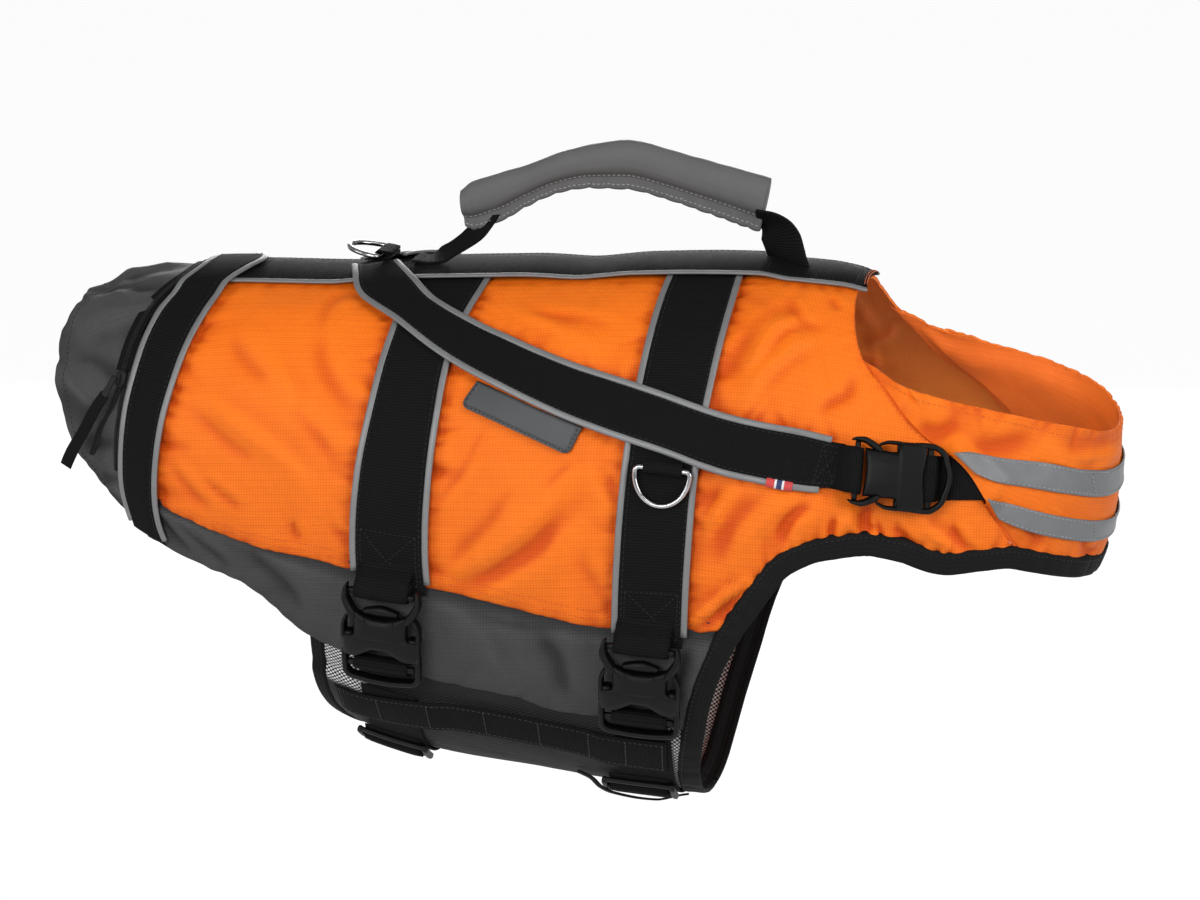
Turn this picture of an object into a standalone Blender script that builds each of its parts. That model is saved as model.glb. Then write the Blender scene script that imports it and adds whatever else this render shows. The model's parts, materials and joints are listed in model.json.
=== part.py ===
"""Dog life jacket, filled out as it is worn, with no wearer.

The dog faces +X, +Y is its left and +Z is up. The origin is inside the jacket, on the spine under
the middle of the handle. Sizes below are in millimetres and become metres when a mesh is made.

Every cloth piece lies on one body form. A place on the form is a pair (station, angle): the station
counts the rings of RINGS from the rump to the throat, and the angle goes round a ring in degrees,
0 on the spine, 90 at the widest point and 180 under the belly, negative on the dog's right.
A lift is a distance outward from the form, so a wall is the space between two lifts.
"""
import math

import bmesh
import bpy
import numpy as np

MM = 0.001

# ---------------------------------------------------------------- the body form

# Each ring is a straight cut in side view, from a top point on the spine to a low point under the
# belly. Across, it is a superellipse with its own power above and below the widest height.
# name, top_x, top_z, low_x, low_z, half_width, widest (share of the way down), top_power, low_power
RINGS = [
    ("hem",      -392, -38, -386, -158,  46, 0.48, 2.0, 2.0),
    ("rump",     -340, -18, -352, -196,  78, 0.50, 2.1, 2.1),
    ("zip",      -295, -10, -318, -222, 100, 0.50, 2.2, 2.2),
    ("rear",     -258,  -7, -288, -242, 112, 0.50, 2.2, 2.2),
    ("loin",     -180,  -6, -205, -297, 124, 0.48, 2.3, 2.3),
    ("mid",      -108,  -2, -128, -327, 130, 0.48, 2.3, 2.3),
    ("rib",       -20,   3,  -40, -339, 132, 0.48, 2.3, 2.3),
    ("front",      62,   8,   35, -346, 132, 0.48, 2.3, 2.3),
    ("girth",     110,   9,  100, -350, 130, 0.48, 2.2, 2.2),
    ("elbow",     138,   8,  180, -335, 124, 0.48, 2.2, 2.2),
    ("shoulder",  154,   6,  248, -285, 114, 0.48, 2.1, 2.2),
    ("chest",     162,   3,  304, -220, 104, 0.50, 2.1, 2.2),
    ("sternum",   166,   1,  330, -152,  94, 0.52, 2.1, 2.2),
    ("throat",    168,   0,  334,  -86,  84, 0.55, 2.1, 2.3),
]
RING_SIZES = np.array([ring[1:] for ring in RINGS], dtype=float)
RING_SLOPES = np.gradient(RING_SIZES, axis=0)

STATION_MM = 70.0     # typical distance between two rings, for measuring along a line of places
ANGLE_MM = 2.2        # typical distance of one degree

# ---------------------------------------------------------------- cloth sizes

FOAM_WALL = 6.0       # foam-filled part of a side panel
CLOTH_WALL = 2.0      # single doubled cloth elsewhere
SEAM_WALL = 2.2       # a side panel at its seams
WEBBING = 1.4
PIPING_WIDTH = 4.0
PIPING_HEIGHT = 2.0
LAY_GAP = 0.75        # from a panel to what is sewn on it
SEAM_GAP = 0.5
EDGE_GAP = 0.7        # from a curved cut edge to its binding

BINDING_WIDTH = 12.5
PULL_WIDTH = 8.0
ZIP_TAPE_WIDTH = 9.0

# Lines of places, each (station, angle) for one side.
# share of a panel's way down, station, angle: the side panel's front edge and the collar's seam.
NECK_SEAM = [(0.00, 12.00, 0.6), (0.12, 11.00, 13.0), (0.25, 10.50, 29.0), (0.38, 10.42, 44.0),
             (0.50, 10.77, 57.0), (0.62, 10.99, 70.5), (0.72, 11.26, 81.5), (0.81, 11.41, 90.5),
             (0.90, 11.35, 101.0), (1.00, 11.28, 117.5)]
COLLAR_SEAM = [(0.00, 10.52, 46.6), (0.13, 10.81, 57.0), (0.30, 11.03, 70.5), (0.45, 11.30, 81.5),
               (0.60, 11.45, 90.5), (0.76, 11.39, 101.0), (1.00, 11.32, 117.5)]
SLOT_COLUMNS = [0.525, 0.68]      # more columns of the collar at the strap's slot

# The side panel's ribs: station at the top, then the place at the lower edge.
SIDE_RIBS = [
    (2.84, 2.30, 102.5), (3.20, 2.90, 102.0), (3.70, 3.50, 100.5), (4.30, 4.20, 97.0),
    (4.90, 4.80, 97.0), (5.50, 5.40, 97.5), (6.10, 6.00, 100.0), (6.70, 6.60, 102.0),
    (7.30, 7.20, 102.0), (7.90, 7.78, 101.0), (8.60, 8.28, 90.0), (9.20, 8.72, 86.3),
    (9.80, 9.25, 86.5), (10.3, 9.78, 90.0), (10.9, 10.15, 94.3), (11.4, 10.53, 102.0),
    (11.7, 10.93, 108.5), (12.0, 11.28, 117.5)]
SIDE_CORNER = 9

# The collar's ribs: the place at the rim, then the place at the hem.
COLLAR_RIBS = [
    (10.52, 46.6, 11.32, 117.5), (10.92, 52, 11.36, 120.5), (11.33, 60, 11.40, 124.0),
    (11.88, 70, 11.46, 128.5), (12.30, 80, 11.52, 133.5), (12.70, 94, 11.58, 140.0),
    (12.90, 111, 11.64, 149.0), (13.0, 133, 11.69, 160.0), (13.0, 157, 11.71, 170.0),
    (13.0, 180, 11.72, 180.0)]

# The lower panel's ribs: the place at the seam with the side panel, then at its free lower edge.
LOWER_RIBS = [
    (2.30, 102.9, 2.50, 116.5), (2.90, 102.4, 3.00, 116.0), (3.20, 101.7, 3.30, 114.3),
    (3.50, 100.9, 3.60, 112.0), (3.85, 99.4, 3.83, 113.5), (4.20, 97.5, 4.15, 118.0),
    (4.80, 97.5, 4.70, 119.0), (5.40, 98.0, 5.30, 120.2), (6.00, 100.5, 5.90, 122.0),
    (6.30, 101.5, 6.15, 124.3), (6.60, 102.5, 6.53, 124.7), (7.20, 102.5, 7.00, 125.3),
    (7.78, 101.5, 7.38, 126.0)]

# The rump piece: angle, station of its free hem, station of its edge under the rear band.
RUMP_RIBS = [(0, 0.44, 2.80), (14, 0.46, 2.66), (28, 0.36, 2.48), (46, 0.30, 2.36),
             (60, 0.33, 2.28), (76, 0.33, 2.21), (88, 0.46, 2.20), (97, 0.68, 2.21),
             (106, 1.12, 2.29), (111, 1.56, 2.35), (114, 1.95, 2.39)]

# Edges of bands that go over the back: angle, station of the rear edge, station of the front edge.
REAR_BAND_EDGES = [(0, 2.43, 3.25), (8, 2.40, 3.20), (20, 2.18, 3.08), (32, 1.98, 3.00),
                   (46, 1.86, 2.90), (62, 1.79, 2.81), (78, 1.73, 2.73), (92, 1.74, 2.73),
                   (102, 1.80, 2.80), (109, 1.92, 2.90), (114.5, 2.06, 3.02)]
MID_STRAP_EDGES = [(0, 4.68, 5.34), (18, 4.67, 5.33), (32, 4.67, 5.28), (46, 4.64, 5.24),
                   (60, 4.61, 5.23), (78, 4.56, 5.22), (90, 4.56, 5.23), (98.5, 4.60, 5.27)]
FRONT_STRAP_EDGES = [(0, 6.68, 7.46), (26, 6.68, 7.49), (48, 6.67, 7.45), (68, 6.65, 7.40),
                     (86, 6.65, 7.40), (104.5, 6.68, 7.42)]

# The spine band: station, half width in mm, pipings included.
SPINE_EDGES = [(2.72, 38), (4.2, 36), (6.0, 35), (8.0, 34), (10.0, 31), (11.9, 27)]
SPINE_TAB = 0.94      # share of the band's length where its end is folded double

# The diagonal strap's two edges, pipings included, from the spine to the shoulder buckle.
DIAGONAL_LOW = [(3.98, 0.8), (4.08, 10), (4.20, 20), (4.73, 34), (5.23, 46), (5.80, 56),
                (6.45, 64), (7.18, 69.6), (8.20, 73), (9.30, 77.3)]
DIAGONAL_HIGH = [(4.42, 0.8), (4.60, 9), (4.93, 22), (5.40, 34), (6.05, 45), (6.53, 50.5),
                 (7.10, 55.5), (8.15, 59.5), (8.90, 62), (9.62, 66.3)]
DIAGONAL_BARE = 0.955  # share of the length where the piping ends and the bare webbing goes on

TAPE_UPPER = ([(11.46, 85.5), (11.80, 91), (12.03, 98), (12.38, 114), (12.55, 136), (12.62, 160),
               (12.63, 180)],
              [(11.54, 93), (11.73, 101), (11.98, 112), (12.19, 128), (12.31, 148), (12.35, 162),
               (12.36, 180)])
TAPE_LOWER = ([(11.43, 99.5), (11.64, 108), (11.88, 124), (12.00, 137), (12.06, 148), (12.10, 162),
               (12.11, 180)],
              [(11.37, 106.5), (11.50, 115), (11.64, 125), (11.74, 134), (11.83, 147), (11.89, 162),
               (11.90, 180)])
CHEST_STRAP = [(11.13, 89), (11.45, 93.5), (11.80, 102), (12.05, 115), (12.18, 135), (12.22, 160),
               (12.22, 180)]
CHEST_STRAP_WIDTH = 27.0

# The cloth side of the leg binding, from the front of the chest to the middle of the belly.
LEG_EDGE = [(11.72, 179.8), (11.71, 170), (11.69, 160), (11.64, 149), (11.58, 140), (11.50, 132),
            (11.39, 124), (11.27, 117.6), (10.93, 108.8), (10.53, 102.3), (10.15, 94.6),
            (9.78, 90.3), (9.25, 86.8), (8.72, 86.6), (8.45, 88.2), (8.28, 90.4), (8.03, 95.5),
            (7.80, 101.5), (7.61, 109), (7.48, 118), (7.42, 126), (7.34, 140), (7.31, 154),
            (7.31, 168), (7.31, 179.8)]

BELLY_REAR = [(4.30, 109), (4.30, 118), (4.36, 149), (4.51, 167), (4.54, 180)]
BELLY_FRONT = [(7.46, 109), (7.42, 118), (7.36, 126), (7.30, 140), (7.28, 154), (7.28, 180)]
BELLY_BINDING = 10.0
LADDER_HIGH = [(4.40, 131.5), (4.62, 130.5), (5.30, 126.5), (6.10, 127.5), (6.62, 129.0),
               (7.22, 129.5)]
LADDER_LOW = [(4.44, 143), (4.70, 141.5), (5.28, 137.5), (6.10, 138.5), (6.62, 141.0), (7.20, 142)]

LABEL_HIGH = [(5.47, 51.3), (5.90, 57.9), (6.31, 62.8)]
LABEL_LOW = [(5.37, 58.4), (5.81, 64.4), (6.23, 69.6)]
TAG_HIGH = [(8.30, 72.0), (8.66, 73.3)]
TAG_LOW = [(8.30, 75.0), (8.66, 76.3)]

# Soft folds of the side panels: side, station, angle, heading in degrees below forward,
# half length, half width, depth (outward positive), in mm.
FOLDS = [
    ("right", 8.95, 80.0, 12, 46, 13, 4.0), ("right", 9.75, 82.0, 24, 30, 11, -3.0),
    ("right", 3.60, 50.0, 48, 55, 16, 2.0), ("right", 5.75, 86.0, -40, 48, 16, 2.2),
    ("right", 6.20, 76.0, 62, 50, 15, -1.8), ("right", 8.10, 45.0, 75, 60, 18, 2.4),
    ("right", 9.30, 38.0, 60, 50, 14, -2.0), ("right", 3.80, 88.0, 30, 60, 16, -1.8),
    ("left", 9.05, 79.0, 16, 44, 13, 3.6), ("left", 9.85, 83.0, 20, 28, 11, -2.8),
    ("left", 3.50, 62.0, 35, 58, 16, 2.2), ("left", 5.90, 82.0, -52, 50, 16, 2.0),
    ("left", 6.10, 68.0, 40, 42, 15, -1.6), ("left", 8.20, 50.0, 82, 55, 18, 2.2),
    ("left", 9.20, 44.0, 50, 46, 14, -1.8), ("left", 3.90, 92.0, 12, 52, 15, -1.6)]
PILLOW = 2.4          # how far the foam fields stand out between the straps

LEG_GATHERS = 9       # gathers of a side panel along its leg edge
RIM_GATHERS = 12      # gathers of half the collar's rim
HEM_GATHERS = 5       # gathers of half the collar's hem
GATHER_DEPTH = 1.7

SLOT_ANGLES = (84.0, 102.0)   # the collar stands off here, where the chest strap goes in
SLOT_RISE = 5.2

# ---------------------------------------------------------------- hard pieces

RING_WIDTH = 39.0
RING_DEPTH = 27.0
RING_WIRE = 3.4
RING_LOOP_WIDTH = 25.0

BELLY_BUCKLE = (67.0, 53.0, 12.0)      # length, width, thickness
SHOULDER_BUCKLE = (61.0, 42.0, 11.5)
# share of the length, share of the half width, height of the top and of the bottom (shares)
BUCKLE_SECTIONS = [
    (0.00, 0.80, 0.55, 0.12), (0.03, 0.94, 0.68, 0.06), (0.14, 0.97, 0.76, 0.03),
    (0.23, 0.83, 0.88, 0.01), (0.34, 0.72, 0.96, 0.00), (0.46, 0.74, 1.00, 0.00),
    (0.55, 0.92, 0.96, 0.00), (0.63, 0.98, 0.92, 0.00), (0.78, 0.99, 0.84, 0.02),
    (0.93, 0.96, 0.72, 0.05), (1.00, 0.84, 0.55, 0.10)]
GLIDE = (24.0, 50.0, 5.0)
GLIDE_SECTIONS = [(0.0, 0.93, 0.8, 0.15), (0.08, 1.0, 1.0, 0.0), (0.92, 1.0, 1.0, 0.0),
                  (1.0, 0.93, 0.8, 0.15)]

# Handle grip: top x and z, low x and z of each section.
GRIP = [(-107, 50, -104, 27), (-100, 56, -97, 25), (-80, 63, -78, 32), (-62, 69, -60, 43),
        (-40, 78, -40, 52), (-20, 84, -19, 56), (7, 88, 5, 56), (30, 83.5, 28, 51.5),
        (50, 78.5, 47, 46), (69, 74, 65, 40.5), (86, 70, 80, 35.5), (101, 66, 94, 31)]
# Section of the grip: half thickness in mm against the share of its height.
GRIP_SECTION = [(1.6, 0.0), (1.8, 0.24), (6.0, 0.36), (7.6, 0.58), (6.2, 0.85), (2.0, 1.0)]
# Handle legs: centre x, z, then half the webbing's width as x, y, z.
LEG_THICK = 2.4
REAR_LEG = [(-97, 22.5, 7.5, -2.0, 0.5), (-103, 15.0, 7.2, -5.0, 0.0), (-109, 9.5, 5.5, -9.5, 0.0),
            (-117, 6.4, 2.0, -12.5, 0.0), (-127, 5.3, 0.0, -13.0, 0.0), (-138, 4.6, 0.0, -13.0, 0.0)]
FRONT_LEG = [(107.5, 36.0, 11.3, -1.0, -1.6), (109.0, 29.0, 11.6, -2.5, 0.0),
             (110.5, 22.0, 11.8, -5.0, 0.4), (112.0, 16.5, 11.8, -8.0, 0.4),
             (113.5, 14.2, 11.8, -10.5, -0.4)]

SLIDER_PLACE = (1.64, 66.0)
SLIDER_SIZE = (11.0, 9.0, 4.6)
TAB_SIZE = (17.0, 5.0, 1.8)
RIBBON_END = (-355.5, -92.0, -128.0)
# The keeper under the belly: station, angle, lift of its middle.
KEEPER = [(6.33, 151, 1.9), (6.44, 153, 3.6), (6.53, 155, 7.8), (6.62, 156.5, 9.6),
          (6.82, 159, 10.2), (7.02, 161, 9.4), (7.16, 162, 6.4), (7.26, 162.6, 3.8),
          (7.33, 163, 2.4)]

TOP_RING_X = -160.0
TOP_RING_TILT = 10.0   # degrees that the top ring stands up from the band
SIDE_RING_PLACE = (7.03, 71.8)

ORANGE, GREY = "orange_ripstop", "grey_ripstop"
BLACK, PIPING = "black_webbing", "reflective_piping"
# name, base colour, roughness, metallic
MATERIALS = {
    ORANGE: ((0.90, 0.16, 0.012), 0.62, 0.0),
    GREY: ((0.070, 0.070, 0.072), 0.60, 0.0),
    BLACK: ((0.011, 0.011, 0.012), 0.75, 0.0),
    PIPING: ((0.19, 0.19, 0.195), 0.42, 0.1),
    "reflective_tape": ((0.25, 0.25, 0.26), 0.38, 0.2),
    "grip_cloth": ((0.105, 0.105, 0.108), 0.58, 0.0),
    "binding_elastic": ((0.012, 0.012, 0.013), 0.80, 0.0),
    "belly_twill": ((0.016, 0.016, 0.017), 0.78, 0.0),
    "black_plastic": ((0.014, 0.014, 0.015), 0.34, 0.0),
    "chrome_steel": ((0.72, 0.72, 0.73), 0.14, 1.0),
    "patch_rubber": ((0.048, 0.050, 0.054), 0.50, 0.0),
    "flag_cloth": ((0.60, 0.05, 0.05), 0.60, 0.0),
}
SIDES = (("right", -1), ("left", 1))


# ---------------------------------------------------------------- places and lifts

def ring_at(station):
    """The ring sizes at any station, by Hermite interpolation between the rings."""
    low = min(max(int(station), 0), len(RINGS) - 2)
    t = station - low
    a = (1 + 2 * t) * (1 - t) ** 2
    b = t * (1 - t) ** 2
    c = t * t * (3 - 2 * t)
    d = t * t * (t - 1)
    return (a * RING_SIZES[low] + b * RING_SLOPES[low]
            + c * RING_SIZES[low + 1] + d * RING_SLOPES[low + 1])


def form_point(station, angle):
    """The point of the bare form at a place."""
    top_x, top_z, low_x, low_z, half, widest, top_power, low_power = ring_at(station)
    across = math.sin(math.radians(angle))
    down = math.cos(math.radians(angle))
    power = top_power if down >= 0 else low_power
    reach = abs(down) ** (2 / power)
    share = widest * (1 - reach) if down >= 0 else widest + (1 - widest) * reach
    y = half * math.copysign(abs(across) ** (2 / power), across)
    return np.array([top_x + (low_x - top_x) * share, y, top_z + (low_z - top_z) * share])


def form_slopes(station, angle, ds=0.03, da=0.6):
    """How the form's point moves with the station and with the angle."""
    along = (form_point(station + ds, angle) - form_point(station - ds, angle)) / (2 * ds)
    around = (form_point(station, angle + da) - form_point(station, angle - da)) / (2 * da)
    return along, around


def form_normal(station, angle):
    """The outward unit normal at a place."""
    along, around = form_slopes(station, angle)
    normal = np.cross(along, around)
    return normal / np.linalg.norm(normal)


def ramp(value, start, end):
    """0 before start, 1 after end, and smooth between them."""
    t = min(max((value - start) / (end - start), 0.0), 1.0)
    return t * t * (3 - 2 * t)


def hump(value, start, end, soft):
    """1 from start to end, falling to 0 over a soft margin outside."""
    return ramp(value, start - soft, start) * (1 - ramp(value, end, end + soft))


def fold_lift(station, angle):
    """What the soft folds of a side panel add at a place."""
    side = "right" if angle < 0 else "left"
    total = 0.0
    for name, s0, a0, heading, half_length, half_width, depth in FOLDS:
        if name != side:
            continue
        forward = (station - s0) * STATION_MM
        below = (abs(angle) - a0) * ANGLE_MM
        turn = math.radians(heading)
        along = forward * math.cos(turn) + below * math.sin(turn)
        across = below * math.cos(turn) - forward * math.sin(turn)
        total += depth * math.exp(-(along / half_length) ** 2 - (across / half_width) ** 2)
    clear = 1 - hump(station, 4.5, 5.4, 0.2)
    clear *= 1 - hump(station, 6.55, 7.55, 0.2)
    return total * clear * hump(abs(angle), 24, 94, 8)


def skin(station, angle):
    """The panels' outer skin over the form: foam fields pillowed between the straps, and folds."""
    fields = (hump(station, 3.60, 3.95, 0.48) + hump(station, 5.82, 6.10, 0.38)
              + hump(station, 8.05, 8.5, 0.42))
    return PILLOW * fields * hump(abs(angle), 34, 84, 16) + fold_lift(station, angle)


def slot_rise(station, angle):
    """How far the collar stands off its seam where the chest strap goes in under it."""
    around = angle if angle > -180 else angle + 360
    return SLOT_RISE * hump(abs(around), *SLOT_ANGLES, 10) * (1 - ramp(station, 11.50, 11.95))


def lifted(place, lift):
    """The point at a place, a lift above the panels' skin."""
    station, angle = place
    return form_point(station, angle) + form_normal(station, angle) * (skin(station, angle) + lift)


def glide(place, direction, distance, step=4.0):
    """The place reached by going a distance over the form in a 3-D direction, and the direction there."""
    station, angle = place
    heading = np.array(direction, dtype=float)
    count = max(1, math.ceil(abs(distance) / step))
    for _ in range(count):
        along, around = form_slopes(station, angle)
        normal = np.cross(along, around)
        normal /= np.linalg.norm(normal)
        heading = heading - normal * heading.dot(normal)
        heading /= np.linalg.norm(heading)
        move = heading * distance / count
        grid = np.array([[along.dot(along), along.dot(around)], [along.dot(around), around.dot(around)]])
        ds, da = np.linalg.solve(grid, [along.dot(move), around.dot(move)])
        station += ds
        angle += da
    return (station, angle), heading


def angle_of(station, y):
    """The angle near the spine at which the form is a distance y from the middle."""
    half, power = ring_at(station)[4], ring_at(station)[6]
    return math.degrees(math.asin(min(abs(y) / half, 1.0) ** (power / 2)))


class Line:
    """A smooth line through places, read at t from 0 to 1."""

    def __init__(self, rows, corners=(), even=False, knots=None):
        self.rows = np.array(rows, dtype=float)
        count = len(self.rows)
        if knots is not None:
            self.knots = np.array(knots, dtype=float)
        elif even:
            self.knots = np.linspace(0, 1, count)
        else:
            steps = np.diff(self.rows, axis=0) * (STATION_MM, ANGLE_MM)
            lengths = np.concatenate([[0], np.cumsum(np.hypot(steps[:, 0], steps[:, 1]))])
            self.knots = lengths / lengths[-1]
        self.slopes = np.zeros((count, 2, 2))   # slope before and after each row
        cuts = [0, *corners, count - 1]
        for first, last in zip(cuts, cuts[1:]):
            run = slice(first, last + 1)
            slopes = np.gradient(self.rows[run], self.knots[run], axis=0)
            self.slopes[first:last, 1] = slopes[:-1]
            self.slopes[first + 1:last + 1, 0] = slopes[1:]

    def __call__(self, t):
        k = int(np.clip(np.searchsorted(self.knots, t, side="right") - 1, 0, len(self.knots) - 2))
        span = self.knots[k + 1] - self.knots[k]
        w = (t - self.knots[k]) / span
        return ((1 + 2 * w) * (1 - w) ** 2 * self.rows[k] + w * (1 - w) ** 2 * span * self.slopes[k, 1]
                + w * w * (3 - 2 * w) * self.rows[k + 1] + w * w * (w - 1) * span * self.slopes[k + 1, 0])


def both_sides(rows):
    """Places of one side, given outward from the middle line, as one run from right to left."""
    right = [(s, -a) for s, a in reversed(rows)]
    left = [(s, a) for s, a in rows if a > 0.01]
    return right + left


def round_front(rows):
    """Places of one side that end at angle 180, as one run from right to left round the front."""
    right = [(s, -a) for s, a in rows]
    left = [(s, a - 360) for s, a in reversed(rows) if a < 179.99]
    return right + left


def mirrored(rows, side):
    return [(s, a * side) for s, a in rows]


def patch(top, low, start, end, reach=1.0):
    """Places between four lines: u runs along top and low, v from top to low.

    What the start and end lines add to the straight way across fades out over a reach of u.
    """
    def place(u, v):
        at_start = (1 - v) * top(0) + v * low(0)
        at_end = (1 - v) * top(1) + v * low(1)
        near_start = max(0.0, 1 - u / reach)
        near_end = max(0.0, 1 - (1 - u) / reach)
        return ((1 - v) * top(u) + v * low(u) + near_start * (start(v) - at_start)
                + near_end * (end(v) - at_end))
    return place


def between(edge_a, edge_b):
    """A band of places between two lines."""
    def place(u, v):
        return (1 - v) * edge_a(u) + v * edge_b(u)
    return place


# ---------------------------------------------------------------- meshes

def material(name):
    """The material of a name, made on first use."""
    found = bpy.data.materials.get(name)
    if found:
        return found
    color, roughness, metallic = MATERIALS[name]
    made = bpy.data.materials.new(name)
    made.use_nodes = True
    shader = made.node_tree.nodes["Principled BSDF"]
    shader.inputs["Base Color"].default_value = (*color, 1.0)
    shader.inputs["Roughness"].default_value = roughness
    shader.inputs["Metallic"].default_value = metallic
    return made


def add_object(name, mesh_builder, material_name, origin=(0, 0, 0), parent=None):
    """An object from a bmesh in millimetres, with its own origin and outward faces."""
    bmesh.ops.translate(mesh_builder, verts=mesh_builder.verts, vec=[-c for c in origin])
    bmesh.ops.scale(mesh_builder, verts=mesh_builder.verts, vec=(MM, MM, MM))
    bmesh.ops.recalc_face_normals(mesh_builder, faces=mesh_builder.faces)
    mesh = bpy.data.meshes.new(name)
    mesh_builder.to_mesh(mesh)
    mesh_builder.free()
    mesh.shade_smooth()
    mesh.set_sharp_from_angle(angle=math.radians(40))
    mesh.materials.append(material(material_name))
    made = bpy.data.objects.new(name, mesh)
    bpy.context.scene.collection.objects.link(made)
    if parent:
        made.parent = parent
        made.location = [(c * MM) - p for c, p in zip(origin, parent.location)]
    else:
        made.location = [c * MM for c in origin]
    return made


def smooth_rows(rows, steps):
    """Rows of numbers with more rows between them, on a smooth curve through the given ones."""
    rows = np.array(rows, dtype=float)
    slopes = np.gradient(rows, axis=0)
    made = []
    for k in range(len(rows) - 1):
        for w in np.linspace(0, 1, steps, endpoint=False):
            made.append((1 + 2 * w) * (1 - w) ** 2 * rows[k] + w * (1 - w) ** 2 * slopes[k]
                        + w * w * (3 - 2 * w) * rows[k + 1] + w * w * (w - 1) * slopes[k + 1])
    made.append(rows[-1])
    return np.array(made)


def spread(count, start=0.0, end=1.0):
    return np.linspace(start, end, count + 1)


def slab(name, material_name, place, rows, columns, outer, inner):
    """A wall over a patch of places, between an outer and an inner lift, each a number or f(u, v)."""
    def value(lift, u, v):
        return lift(u, v) if callable(lift) else lift

    build = bmesh.new()
    faces = []
    for lift in (outer, inner):
        faces.append([[build.verts.new(lifted(place(u, v), value(lift, u, v))) for v in columns]
                      for u in rows])
    top, low = faces
    last_row, last_column = len(rows) - 1, len(columns) - 1
    for i in range(last_row):
        for j in range(last_column):
            build.faces.new((top[i][j], top[i][j + 1], top[i + 1][j + 1], top[i + 1][j]))
            build.faces.new((low[i][j], low[i + 1][j], low[i + 1][j + 1], low[i][j + 1]))
    for i in range(last_row):
        for j in (0, last_column):
            build.faces.new((top[i][j], top[i + 1][j], low[i + 1][j], low[i][j]))
    for j in range(last_column):
        for i in (0, last_row):
            build.faces.new((top[i][j], top[i][j + 1], low[i][j + 1], low[i][j]))
    return add_object(name, build, material_name)


def sweep(name, material_name, sections, closed=False, **placing):
    """A body through cross-sections of equal point counts, capped or joined end to end."""
    build = bmesh.new()
    rings = [[build.verts.new(point) for point in section] for section in sections]
    pairs = list(zip(rings, rings[1:]))
    if closed:
        pairs.append((rings[-1], rings[0]))
    else:
        build.faces.new(rings[0])
        build.faces.new(rings[-1])
    count = len(rings[0])
    for ring_a, ring_b in pairs:
        for k in range(count):
            n = (k + 1) % count
            build.faces.new((ring_a[k], ring_a[n], ring_b[n], ring_b[k]))
    return add_object(name, build, material_name, **placing)


def piping(name, place, rows, edge, lift):
    """A piping along one edge of a band: edge is 0 or 1, lift a number or f(station, angle)."""
    sections = []
    for u in rows:
        near, far = place(u, edge), place(u, 1 - edge)
        width = np.linalg.norm(lifted(far, 0) - lifted(near, 0))
        section = []
        for mm, rise in ((0, 0), (PIPING_WIDTH, 0), (PIPING_WIDTH - 1.1, PIPING_HEIGHT),
                         (1.1, PIPING_HEIGHT)):
            spot = near + (far - near) * (mm / width)
            section.append(lifted(spot, lift(*near) + rise))
        sections.append(section)
    return sweep(name, PIPING, sections)


def inset(place, margin):
    """The middle part of a band, a margin in mm away from both its edges."""
    def inner(u, v):
        a, b = place(u, 0.0), place(u, 1.0)
        width = np.linalg.norm(lifted(b, 0) - lifted(a, 0))
        share = margin / width
        return place(u, share + (1 - 2 * share) * v)
    return inner


# ---------------------------------------------------------------- cloth pieces

def over_straps(station, angle):
    """How far a band stands off where it crosses a girth strap."""
    limit = 1 - ramp(abs(angle), 100, 110)
    return 2.7 * limit * (hump(station, 4.42, 5.54, 0.3) + hump(station, 6.46, 7.72, 0.3))


def diagonal_lift(station, angle):
    """The underside of a diagonal strap: over the girth straps, and over the spine band."""
    low = LAY_GAP + 0.3 + over_straps(station, angle) + 0.5 * ramp(station, 8.2, 8.8)
    over_spine = LAY_GAP + over_straps(station, angle) + 3.4
    blend = 1 - ramp(abs(angle), 17, 25)
    return low + (over_spine - low) * blend


def spine_lift(station, angle):
    return LAY_GAP + 0.2 + over_straps(station, 0)


def side_panel(side_name, side):
    ribs = np.array(SIDE_RIBS)
    count = len(ribs)
    top_rows = [(s, 0.6 * side) for s in ribs[:, 0]]
    low_rows = [(s, a * side) for s, a in ribs[:, 1:]]
    top = Line(top_rows, even=True)
    low = Line(low_rows, corners=(SIDE_CORNER,), even=True)
    rear = Line(mirrored([(s_front, a) for a, s_front in
                          [(0.6, 2.84), (28, 2.52), (46, 2.40), (60, 2.32), (76, 2.25), (90, 2.26),
                           (102.5, 2.30)]], side))
    columns = [share for share, _, _ in NECK_SEAM]
    front = Line([(s, a * side) for _, s, a in NECK_SEAM], knots=columns)
    place = patch(top, low, rear, front)
    corner = SIDE_CORNER / (count - 1)

    def gathers(u, v):
        along = (u - corner) / (1 - corner)
        if along <= 0:
            return 0.0
        fade = ramp(along, 0.0, 0.2) * math.exp(-((1 - v) / 0.13) ** 2)
        uneven = 0.75 + 0.25 * math.sin(5.0 * along + side)
        return GATHER_DEPTH * uneven * fade * math.sin(2 * math.pi * LEG_GATHERS * along + side)

    def outer(u, v):
        return gathers(u, v)

    def inner(u, v):
        station, angle = place(u, v)
        foam = hump(u, 0.05, corner - 0.06, 0.05) * hump(v, 0.10, 0.90, 0.09)
        return gathers(u, v) - SEAM_WALL - (FOAM_WALL - SEAM_WALL) * foam

    # Rows stand at the edges of the straps, so the panel is plain under them.
    behind = [rib / (count - 1) for rib in (0, 1, 2, 2.85, 3.58, 4.2, 4.82, 5.4, 6.1, 6.9, 7.65, 8.42)]
    rows = [*behind, *spread(20, corner, 1)]
    slab(f"side_panel_{side_name}", ORANGE, place, rows, columns, outer, inner)


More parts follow.
